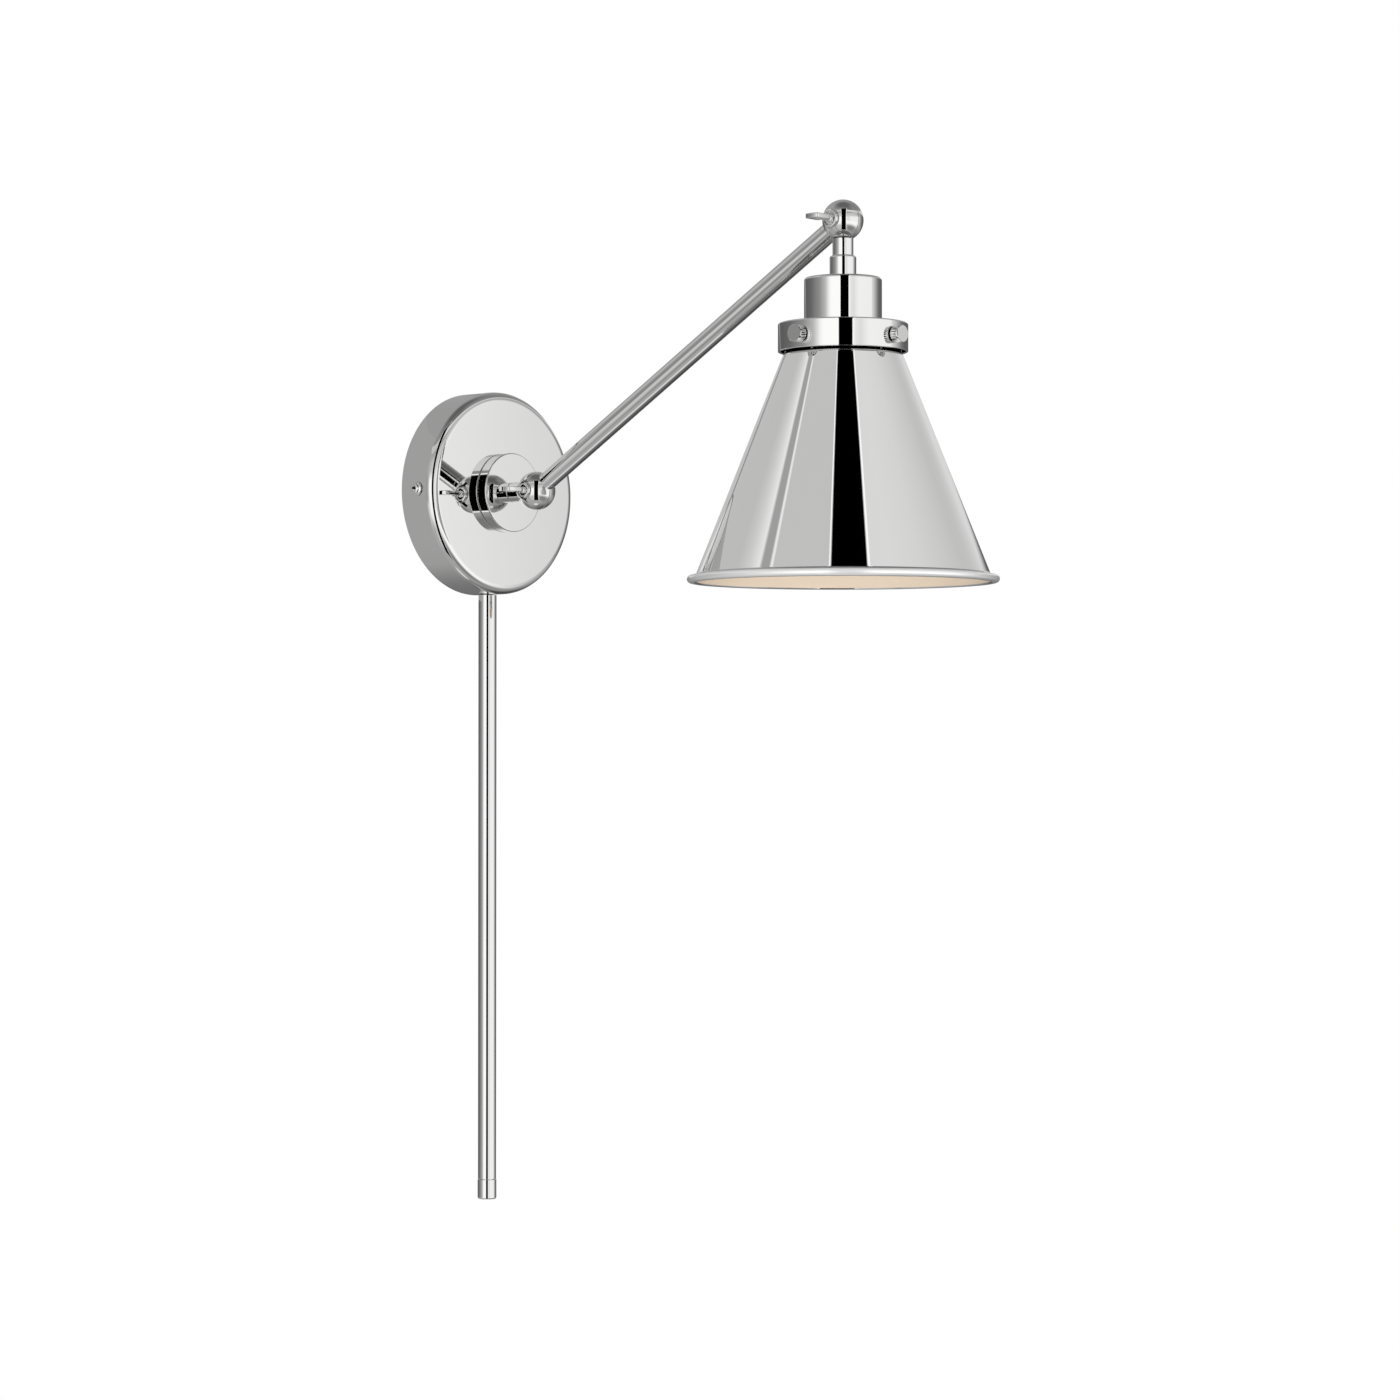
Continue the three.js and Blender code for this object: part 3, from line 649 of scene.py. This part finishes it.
def build_connector(node):
    """A twist-on cap with ribs to grip, hollow below."""
    low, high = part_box(node)
    foot = Vector(((low.x + high.x) / 2, (low.y + high.y) / 2, low.z))
    height = (high.z - low.z) / MM
    wide = (high.x - low.x) / 2 / MM
    hollow = 11
    ribs = 12
    depth = 0.09  # of the radius

    def ribbed(radius, at, angle):
        grip = rising(at - 2.5, 1.5) * rising(height - 1.5 - at, 2)
        return radius * (1 - depth * grip * (0.5 + 0.5 * math.cos(ribs * angle)))

    corners = [
        (0, hollow),
        (2.6, hollow, 0.5),
        (3.6, 0, 0.2),
        (wide, 0, 0.4),
        (wide - 0.2, 2.4, 0.3),
        (wide - 0.6, 3.5),
        (wide - 0.8, 6),
        (wide - 1.1, 9),
        (wide - 1.5, 12),
        (wide - 1.8, height - 1.2, 0.8),
        (wide - 2.6, height, 0.6),
        (0, height),
    ]
    turned_part(node, corners, foot, UP, YELLOW, 96, ribbed)


def build_leads():
    """The straight pieces of wiring inside the stem, neck and arm."""
    lead = 2.0
    arm_margin = 12.2
    low, high = out_from_wall("stem_lead")
    leads = (
        ("stem_lead", WALL, OUT, low, high),
        ("neck_lead", UPPER_BALL, DOWN, *below_ball("neck_lead")),
        ("arm_lead", LOWER_BALL, ARM_AXIS, arm_margin, ARM_LENGTH - arm_margin),
    )
    for node, origin, axis, start, end in leads:
        corners = [(0, start), (lead, start, 0.3), (lead, end, 0.3), (0, end)]
        turned_part(node, corners, origin, axis, BLACK, 32)


# ---- knuckles, hub and arm -----------------------------------------------------------------------
def half_ball_profile(radius, split, flat=None):
    """From the split face to the pole, or to a flat that far from the centre."""
    room = 3  # degrees of the circle that the edge's fillet takes
    start = math.degrees(math.asin(split / radius))
    end = math.degrees(math.asin(flat / radius)) if flat else 90
    edge = [(math.sqrt(radius ** 2 - split ** 2), split, 0.25 if split > 0 else 0)]
    curve = arc(0, 0, radius, start + room, end, 30)
    top = [(*curve[-1], 0.3), (0, flat)] if flat else [(0, radius)]
    return [(0, split), *edge, *curve[:-1], *top]


def ball_half(name, centre, side, axis, neck_corners, flat=None):
    """Half of a split ball on one side of its middle plane, joined to a neck as wide as the ball's
    two halves and hollowed to clear the other half."""
    outward = RIGHT * side
    split = GAP / 2
    half = lathe(name, half_ball_profile(BALL_RADIUS, split, flat), centre, outward, NICKEL, 144)
    neck = lathe("neck", neck_corners, centre, axis, NICKEL, 96)
    clear = half_ball_profile(BALL_RADIUS + BALL_CLEARANCE, -split)
    combine(neck, lathe("clear", clear, centre, -outward, NICKEL, 144), "DIFFERENCE")
    return combine(half, neck, "UNION")


def build_hub():
    """The disc on the canopy, and the stem with its half of the lower ball and its threaded stud."""
    back, face = out_from_wall("hub_disc")
    radius = radius_of("hub_disc")
    corners = [
        (STUD_BORE, back),
        (radius, back, 0.35),
        (radius, face, 0.7),
        (STUD_BORE, face),
    ]
    turned_part("hub_disc", corners, WALL, OUT, NICKEL, 160)

    ball_to_face = -LOWER_BALL.y / MM - face
    stem = 5.9
    stem_end = ball_to_face - GAP / 2
    neck = [(0, NECK_START), (stem, NECK_START), (stem, stem_end, 0.3), (0, stem_end)]
    knuckle = ball_half("stem_knuckle_fine", LOWER_BALL, 1, INTO_WALL, neck)
    lead_bore = 2.6
    stud_start = ball_to_face - 2
    stud_end = -LOWER_BALL.y / MM - out_from_wall("stem_knuckle")[0]
    corners = threaded_profile([
        (lead_bore, stud_start),
        (STUD_RADIUS, stud_start),
        (STUD_RADIUS, stud_end, 0.5),
        (lead_bore, stud_end, 0.2),
    ])
    cut = thread(pitch=1.2, depth=0.35)
    stud = lathe("stud", corners, LOWER_BALL, INTO_WALL, NICKEL, 64, cut)
    stand_for(combine(knuckle, stud, "UNION"), "stem_knuckle")


def build_arm():
    """The tube, and a half ball at each end whose spigot goes into it."""
    seam = 12.95  # from a ball's centre to the arm tube's end
    neck_end = seam - 0.05
    bore = ARM_RADIUS - 0.9
    spigot = bore - GAP
    spigot_end = 21.9
    for node, centre, axis in (
        ("arm_knuckle_lower", LOWER_BALL, ARM_AXIS),
        ("arm_knuckle_upper", UPPER_BALL, -ARM_AXIS),
    ):
        neck = [
            (0, NECK_START),
            (ARM_RADIUS, NECK_START),
            (ARM_RADIUS, neck_end, 0.12),
            (spigot, neck_end),
            (spigot, spigot_end, 0.3),
            (0, spigot_end),
        ]
        stand_for(ball_half(f"{node}_fine", centre, -1, axis, neck, BALL_FLAT), node)
    corners = [
        (bore, seam),
        (ARM_RADIUS, seam, 0.12),
        (ARM_RADIUS, ARM_LENGTH - seam, 0.12),
        (bore, ARM_LENGTH - seam),
    ]
    turned_part("arm_tube", corners, LOWER_BALL, ARM_AXIS, NICKEL, 96)


def build_key(node, centre):
    """A clamping screw: shank, dished collar, thin neck and a flat paddle with a slightly bowed end."""
    tip = -7.6
    seat = BALL_FLAT + GAP / 2
    collar = 5.1
    neck = 1.7
    half_width = 4.45
    half_thickness = 1.3
    corner = 1.1
    plate_start = 16.2
    plate_end = -span(node, 0)[0]
    neck_end = plate_start + 1
    corners = [
        (0, tip),
        (SHANK_RADIUS - 0.4, tip),
        (SHANK_RADIUS, tip + 0.5),
        (SHANK_RADIUS, seat),
        (collar, seat, 0.2),
        (collar, seat + 1.7, 0.4),
        (collar - 1.0, seat + 2.0, 0.35),
        (collar - 1.8, seat + 1.0, 0.6),
        (neck, seat + 0.8, 0.5),
        (neck, neck_end),
        (0, neck_end),
    ]
    key = lathe(f"{node}_fine", corners, centre, LEFT, NICKEL, 72)

    # the end is an arc of radius bow, which meets the two corner arcs where it leans by lean
    bow = 12
    lean = math.asin((half_width - corner) / (bow - corner))
    corner_x = bow - plate_end - (bow - corner) * math.cos(lean)
    bow_start = 180 - math.degrees(lean)
    bow_end = 180 + math.degrees(lean)
    outline = [
        *arc(-plate_start - corner, half_width - corner, corner, 0, 90, 8),
        *arc(corner_x, half_width - corner, corner, 90, bow_start, 8),
        *arc(bow - plate_end, 0, bow, bow_start + 1, bow_end - 1, 24),
        *arc(corner_x, corner - half_width, corner, bow_end, 270, 8),
        *arc(-plate_start - corner, corner - half_width, corner, -90, 0, 8),
    ]
    matrix = Matrix.Translation(centre)
    plate = prism("plate", outline, -half_thickness, half_thickness, matrix, NICKEL, bevel=0.3)
    stand_for(combine(key, plate, "UNION"), node)


# ---- head ----------------------------------------------------------------------------------------
def build_neck():
    """The upper ball's other half, with a stud down into the cup, and the collar round that stud."""
    collar_top, collar_bottom = below_ball("neck_collar")
    radius = radius_of("neck_collar")
    neck_radius = 5.8
    neck_end = collar_top - 0.1
    stud_end = below_ball("neck_knuckle")[1]
    neck = [
        (0, NECK_START),
        (neck_radius, NECK_START),
        (neck_radius, neck_end, 0.3),
        (STUD_RADIUS, neck_end),
        (STUD_RADIUS, stud_end, 0.4),
        (0, stud_end),
    ]
    stand_for(ball_half("neck_knuckle_fine", UPPER_BALL, 1, DOWN, neck), "neck_knuckle")
    corners = [
        (STUD_BORE, collar_top),
        (radius, collar_top, 1.1),
        (radius, collar_bottom, 0.25),
        (STUD_BORE, collar_bottom),
    ]
    turned_part("neck_collar", corners, UPPER_BALL, DOWN, NICKEL, 96)


def build_cup():
    """The plain cup above the gallery, open below."""
    top, bottom = below_ball("socket_cup")
    radius = radius_of("socket_cup")
    wall = 1.0
    corners = [
        (STUD_BORE, top),
        (radius, top, 1.6),
        (radius, bottom, 0.2),
        (radius - wall, bottom, 0.2),
        (radius - wall, top + wall, 0.7),
        (STUD_BORE, top + wall),
    ]
    turned_part("socket_cup", corners, UPPER_BALL, DOWN, NICKEL, 144)


def build_gallery():
    """The ring round the shade's collar, with a hole for each thumbscrew."""
    top, bottom = below_ball("gallery_ring")
    radius = radius_of("gallery_ring")
    wall = 1.5
    flange = 1.2
    hole = 18.0
    corners = [
        (hole, top, 0.3),
        (radius, top, 0.8),
        (radius, bottom, 0.45),
        (radius - wall, bottom, 0.4),
        (radius - wall, top + flange, 0.5),
        (hole, top + flange, 0.3),
    ]
    gallery = lathe("gallery_ring_fine", corners, UPPER_BALL, DOWN, NICKEL, 160)
    for axis in SCREW_AXES:
        drill(gallery, SCREW_CENTRE, axis, SHANK_RADIUS + GAP, radius)
    stand_for(gallery, "gallery_ring")


def build_thumbscrews():
    """Four screws with knurled heads, one at each quarter of the gallery."""
    head = radius_of("thumbscrew_1", 1)
    tip, head_end = span("thumbscrew_1", 0)
    head_start = head_end - 5.7
    plain = head_end - 1.4  # where the knurl ends and the smooth end of the head starts
    depth = 0.16
    ridges = 26

    def knurl(radius, height, angle):
        grip = rising(radius - head + 0.5, 0.4) * rising(plain - height, 0.3)
        return radius - depth * grip * (0.5 + 0.5 * math.cos(ridges * angle))

    corners = [
        (0, tip),
        (SHANK_RADIUS - 0.4, tip, 0.3),
        (SHANK_RADIUS, tip + 0.7),
        (SHANK_RADIUS, head_start),
        (head - 0.5, head_start, 0.1),
        (head, head_start + 0.5, 0.1),
        (head, plain - 0.3),
        (head, plain),
        (head, head_end - 0.25, 0.12),
        (head - 0.25, head_end, 0.12),
        (0, head_end),
    ]
    for number, axis in enumerate(SCREW_AXES, start=1):
        node = f"thumbscrew_{number}"
        turned_part(node, corners, SCREW_CENTRE, axis, NICKEL, 240, knurl)


def build_shade():
    """A spun cone with a collar above and a rolled rim below, and its enamel lining."""
    top, bottom = below_ball("shade")
    rim = radius_of("shade")
    bead = 2.1
    bead_level = bottom - bead
    bead_radius = rim - bead
    collar = 32.3
    shoulder = 72.4
    wall = 1.0
    inner_collar = collar - wall
    inner_shoulder = shoulder + 0.2
    inner_rim = bead_radius - 2.45
    corners = [
        (inner_collar, top, 0.3),
        (collar, top, 0.3),
        (collar, shoulder, 1.2),
        (bead_radius - 2.9, bead_level - 2.6, 1.2),
        *arc(bead_radius, bead_level, bead, -100, 90, 24),
        (inner_rim, bottom, 0.7),
        (inner_collar, inner_shoulder, 1.0),
    ]
    shade = lathe("shade_fine", corners, UPPER_BALL, DOWN, NICKEL, 224)
    # the rolled rim takes the lighter copy of the plate, a painted highlight
    highlight_from = bead_radius - 1.4
    repaint(shade, ROLLED_EDGE_HIGHLIGHT, UPPER_BALL, DOWN, lambda radius, height: radius > highlight_from)
    stand_for(shade, "shade")

    # the enamel covers the inside down to the rim
    coat = 0.25
    clearance = 0.03
    inside = inner_collar - clearance
    slope = (inner_rim - inner_collar) / (bottom - inner_shoulder)
    start = shoulder + 1
    end = bottom - 0.75
    foot = inside + slope * (end - start)
    corners = [
        (inside - coat, top + 1),
        (inside - coat, start),
        (foot - coat, end, 0.1),
        (foot, end),
        (inside, start),
        (inside, top + 1),
    ]
    lining = lathe("shade_lining", corners, UPPER_BALL, DOWN, ENAMEL, 192)
    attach(lining, BODY_OF["shade"])


def build_lamp_holder():
    """A porcelain cup with a groove round it, hollow below."""
    top, bottom = below_ball("lamp_holder")
    outside = 17.2
    groove = outside - 0.6
    bore = 14.4
    floor = top + 6
    corners = [
        (0, top),
        (outside - 2.7, top, 1.0),
        (outside, top + 3, 1.0),
        (outside, bottom - 12, 0.4),
        (groove, bottom - 11.4, 0.3),
        (groove, bottom - 10.2, 0.3),
        (outside, bottom - 9.6, 0.4),
        (outside, bottom - 1.5, 0.8),
        (outside - 1.6, bottom, 0.5),
        (bore, bottom, 0.4),
        (bore, floor, 0.5),
        (0, floor),
    ]
    turned_part("lamp_holder", corners, UPPER_BALL, DOWN, PORCELAIN, 96)


def build_lamp_cap():
    """The lamp's screw cap."""
    top, end = below_ball("lamp_cap")
    first = top + 5.6
    last = end - 3.2
    crest = radius_of("lamp_cap")
    pitch = 3.6
    depth = 0.75
    fade = 2

    def screw(radius, height, angle):
        threaded = rising(height - first, fade) * rising(last - height, fade)
        wave = math.cos(2 * math.pi * (height / pitch - angle / (2 * math.pi)))
        return radius - threaded * depth * (0.5 - 0.5 * wave)

    steps = 60
    body = crest - 0.1
    corners = [
        (0, top),
        (3.5, top, 0.4),
        (5.4, top + 2, 0.5),
        (11.6, top + 5),
        *[(body, first + (last - first) * i / steps) for i in range(steps + 1)],
        (body, end, 0.2),
        (0, end),
    ]
    turned_part("lamp_cap", corners, UPPER_BALL, DOWN, CAP_METAL, 96, screw)


def build_lamp_glass():
    """A shell, open at the neck. Its profile runs up its inside from the crown and back down its
    outside."""
    top, end = below_ball("lamp_glass")
    bulge = 29.4
    centre = end - bulge
    wall = 1.0
    neck = [(13, top), (13.8, top + 5.3), (17.4, top + 17.3), (23.5, top + 29.3)]

    def crown(radius):
        """The arc round the bulge, up to the last point before the axis."""
        return arc(0, centre, radius, -22, 90, 30)[:-1]

    inner_neck = [(radius - wall, height) for radius, height in neck]
    inner = [*smooth_curve(inner_neck, 6), *crown(bulge - wall)]
    outer = [*smooth_curve([*neck, crown(bulge)[0]], 6)[:-1], *crown(bulge)]
    corners = [(0, end - wall), *reversed(inner), *outer, (0, end)]
    turned_part("lamp_glass", corners, UPPER_BALL, DOWN, OPAL, 112)


# ---- studio --------------------------------------------------------------------------------------
# The room's brightness, as (degrees, brightness) pairs. Angle 0 looks back from the object to the
# camera's place, and positive angles lie to its right.
STRAIGHT_DOWN = 0.74
UNDER = [
    (-180, 0.2), (-130, 0.34), (-90, 0.4), (-55, 0.42), (40, 0.4), (90, 0.36), (130, 0.22), (148, 0.16),
    (180, 0.2),
]
LOW = [
    (-180, 0.12), (-130, 0.37), (-90, 0.4), (-62, 0.5), (-56, 0.28), (-53, 0.28), (-48, 0.55), (0, 0.6),
    (20, 0.45), (40, 0.24), (70, 0.24), (90, 0.3), (115, 0.33), (135, 0.17), (150, 0.06), (180, 0.08),
]
LOWERED = [
    (-180, 0.15), (-130, 0.35), (-105, 0.42), (-85, 0.46), (-76, 0.6), (-62, 0.7), (-48, 0.9),
    (-35, 1.05), (85, 1.1), (97, 0.8), (110, 0.45), (135, 0.33), (150, 0.2), (165, 0.1), (180, 0.12),
]
LEVEL = [
    (-180, 0.12), (-136, 0.12), (-111, 0.15), (-99, 0.20), (-90, 0.24), (-76, 0.30), (-64, 0.44),
    (-56, 0.54), (-49, 0.76), (-43, 1.0), (-36, 1.12), (15, 1.12), (20, 0.9), (29, 0.82), (36, 0.91),
    (45, 1.0), (88, 0.98), (93.3, 0.93), (95, 0.74), (103, 0.60), (113, 0.38), (125, 0.18), (140, 0.12),
    (180, 0.12),
]
RAISED = [
    (-180, 0.36), (-140, 0.38), (-119, 0.37), (-103, 0.43), (-90, 0.52), (-75, 0.46), (-55, 0.5),
    (-30, 0.62), (40, 0.64), (75, 0.58), (100, 0.4), (138, 0.28), (180, 0.36),
]
HIGH = [
    (-180, 0.345), (-130, 0.365), (-100, 0.37), (-85, 0.3), (-57, 0.3), (-20, 0.33), (15, 0.3),
    (40, 0.2), (60, 0.17), (80, 0.26), (123, 0.23), (180, 0.34),
]
TOP = [(-180, 0.13), (180, 0.13)]
# each belt takes over from what lies below it between two elevations in degrees
BELTS = (
    (UNDER, -83, -78),
    (LOW, -60, -50),
    (LOWERED, -38, -18),
    (LEVEL, -13, -5),
    (RAISED, 9, 22),
    (HIGH, 26, 44),
    (TOP, 50, 78),
)
# the bow's brightness, all the way round in the same degrees
BOW = [
    (-180, 0.57), (-105, 0.575), (-98, 0.63), (-92, 0.70), (-87, 0.79), (-81, 0.92), (-79.5, 0.39),
    (-71, 0.39), (-70.2, 0.95), (-68.8, 0.95), (-67.6, 0.60), (-10, 0.60), (10, 0.77), (40, 0.79),
    (70, 0.75), (97, 0.67), (117, 0.60), (127, 0.61), (137, 0.67), (147, 0.76), (158, 0.74), (180, 0.57),
]


def calculated(tree, operation, *values):
    """A Math node's result, from sockets and constants."""
    node = tree.nodes.new("ShaderNodeMath")
    node.operation = operation
    for socket, value in zip(node.inputs, values):
        feed(tree, socket, value)
    return node.outputs["Value"]


def panels(tree, stops, factor, whole=360):
    """Brightness along a factor that is 0.5 at amount 0, from (amount, brightness) pairs. The whole
    range of amounts is a full turn in degrees unless given."""
    ramp = tree.nodes.new("ShaderNodeValToRGB")
    ramp.color_ramp.interpolation = "LINEAR"
    elements = ramp.color_ramp.elements
    while len(elements) > 1:
        elements.remove(elements[-1])
    for i, (amount, value) in enumerate(stops):
        position = amount / whole + 0.5
        element = elements[0] if i == 0 else elements.new(position)
        element.position = position
        element.color = (value, value, value, 1)
    tree.links.new(factor, ramp.inputs["Fac"])
    return ramp.outputs["Color"]


def blended(tree, low, high, amount, start, end):
    """Low up to where the amount is start, high from where it is end, and a soft change between."""
    weight = tree.nodes.new("ShaderNodeMapRange")
    weight.interpolation_type = "SMOOTHSTEP"
    weight.inputs["From Min"].default_value = start
    weight.inputs["From Max"].default_value = end
    tree.links.new(amount, weight.inputs["Value"])
    return mixed(tree, weight.outputs["Result"], low, high)


def between(tree, value, low, high):
    """1 where the value lies between low and high, and 0 elsewhere."""
    above = calculated(tree, "GREATER_THAN", value, low)
    return calculated(tree, "MULTIPLY", above, calculated(tree, "LESS_THAN", value, high))


def room_brightness(tree):
    """Belts of panels all round, brighter in front, with a bow overhead and a black card in front.
    All of it is fixed in the world."""
    coordinates = tree.nodes.new("ShaderNodeTexCoord")
    turned = tree.nodes.new("ShaderNodeMapping")
    turned.inputs["Rotation"].default_value = (0, 0, CAMERA_HEADING + math.pi / 2)
    tree.links.new(coordinates.outputs["Generated"], turned.inputs["Vector"])
    axes = tree.nodes.new("ShaderNodeSeparateXYZ")
    tree.links.new(turned.outputs["Vector"], axes.inputs["Vector"])
    ahead, sideways, upward = axes.outputs["X"], axes.outputs["Y"], axes.outputs["Z"]
    heading = calculated(tree, "ARCTAN2", sideways, ahead)
    around = calculated(tree, "MULTIPLY_ADD", heading, 1 / (2 * math.pi), 0.5)
    elevation = calculated(tree, "MULTIPLY", calculated(tree, "ARCSINE", upward), math.degrees(1))

    studio = (STRAIGHT_DOWN, STRAIGHT_DOWN, STRAIGHT_DOWN, 1)
    for stops, start, end in BELTS:
        studio = blended(tree, studio, panels(tree, stops, around), elevation, start, end)

    # a slim bright bow overhead from one side to the other, which the cone shows all over
    lowest = 0.125
    rise = 0.622
    bow_edge = 0.052
    bow_end = 0.078
    half = calculated(tree, "COSINE", calculated(tree, "MULTIPLY", heading, 0.5))
    bow_height = calculated(tree, "MULTIPLY_ADD", half, rise, lowest)
    from_bow = calculated(tree, "ABSOLUTE", calculated(tree, "SUBTRACT", upward, bow_height))
    studio = blended(tree, panels(tree, BOW, around), studio, from_bow, bow_edge, bow_end)

    # a black card in front with bright edges, straight up and down across the view
    across = calculated(tree, "MULTIPLY_ADD", sideways, 0.5, 0.5)
    left, right = -0.185, 0.28
    black_left, black_right = -0.16, 0.246
    edges = [(black_left - 0.009, 1.1), (black_left, 0), (black_right, 0), (black_right + 0.01, 1.1)]
    card = panels(tree, edges, across, 2)
    in_width = between(tree, sideways, left, right)
    in_height = between(tree, elevation, -60, 61)
    in_front = calculated(tree, "GREATER_THAN", ahead, 0)
    in_card = calculated(tree, "MULTIPLY", calculated(tree, "MULTIPLY", in_width, in_height), in_front)
    return blended(tree, studio, card, in_card, 0.4, 0.6)


def build_world():
    """The camera sees a plain white background, and everything else sees the room."""
    world = bpy.data.worlds.new("studio")
    bpy.context.scene.world = world
    world.use_nodes = True
    tree = world.node_tree
    tree.nodes.clear()
    behind = tree.nodes.new("ShaderNodeBackground")
    behind.inputs["Color"].default_value = (1, 1, 1, 1)
    lighting = tree.nodes.new("ShaderNodeBackground")
    tree.links.new(room_brightness(tree), lighting.inputs["Color"])
    path = tree.nodes.new("ShaderNodeLightPath")
    mix = tree.nodes.new("ShaderNodeMixShader")
    output = tree.nodes.new("ShaderNodeOutputWorld")
    tree.links.new(path.outputs["Is Camera Ray"], mix.inputs["Fac"])
    tree.links.new(lighting.outputs["Background"], mix.inputs[1])
    tree.links.new(behind.outputs["Background"], mix.inputs[2])
    tree.links.new(mix.outputs["Shader"], output.inputs["Surface"])


def soft_light(name, size, watts, location, target):
    """A round area light, left out of the reflections."""
    data = bpy.data.lights.new(name, "AREA")
    data.shape = "DISK"
    data.size = size
    data.energy = watts
    light = bpy.data.objects.new(name, data)
    light.location = location
    light.rotation_euler = (Vector(target) - light.location).to_track_quat("-Z", "Y").to_euler()
    light.visible_glossy = False
    bpy.context.scene.collection.objects.link(light)


def build_floor():
    """A plain pale disc, well below the lamp and out of its reflections."""
    radius = 600
    thickness = 20
    centre = Vector((0, -0.19, -1.05))
    pale = surface("pale_floor", (0.93, 0.93, 0.92), 0.8, 0.0, 0.02, 0.03, 40, 2,
                   emission_color=(1, 1, 1, 1), emission_strength=0.32)
    corners = [(0, 0), (radius, 0, 2), (radius, thickness), (0, thickness)]
    floor = lathe("floor", corners, centre, DOWN, pale, 128)
    floor.visible_glossy = False
    floor.visible_diffuse = False
    floor.visible_shadow = False


def build_canopy_card():
    """A small grey card behind the wall's plane, which the canopy's side reflects."""
    left, right, low, high = -30, 130, -62, 75
    grey = surface("grey_card", (0.02, 0.02, 0.02), 0.9,
                   emission_color=(1, 1, 1, 1), emission_strength=0.36)
    outline = [(left, low), (right, low), (right, high), (left, high)]
    card = prism("canopy_card", outline, 0, 1, place(INTO_WALL * 0.03, INTO_WALL), grey)
    card.visible_camera = False
    card.visible_diffuse = False
    card.visible_shadow = False


# ---- the whole scene -----------------------------------------------------------------------------
build_canopy()
build_canopy_screw("canopy_screw_left", LEFT)
build_canopy_screw("canopy_screw_right", RIGHT)
build_cord_tube()
build_cord_cap()
build_cord_nipple()
build_inner_parts()
build_wires()
build_connector("wire_connector_live")
build_connector("wire_connector_neutral")
build_leads()
build_hub()
build_arm()
build_key("lower_key", LOWER_BALL)
build_key("upper_key", UPPER_BALL)
build_neck()
build_cup()
build_gallery()
build_thumbscrews()
build_shade()
build_lamp_holder()
build_lamp_cap()
build_lamp_glass()

bpy.context.scene.view_settings.view_transform = "Standard"
build_world()
soft_light("soft_key", size=2.4, watts=60, location=(-1.6, -2.2, 2.0), target=(0, -0.2, -0.1))
soft_light("soft_fill", size=1.0, watts=8, location=(-1.05, -1.2, -0.46), target=(0, UPPER_BALL.y, 0.05))
build_floor()
build_canopy_card()
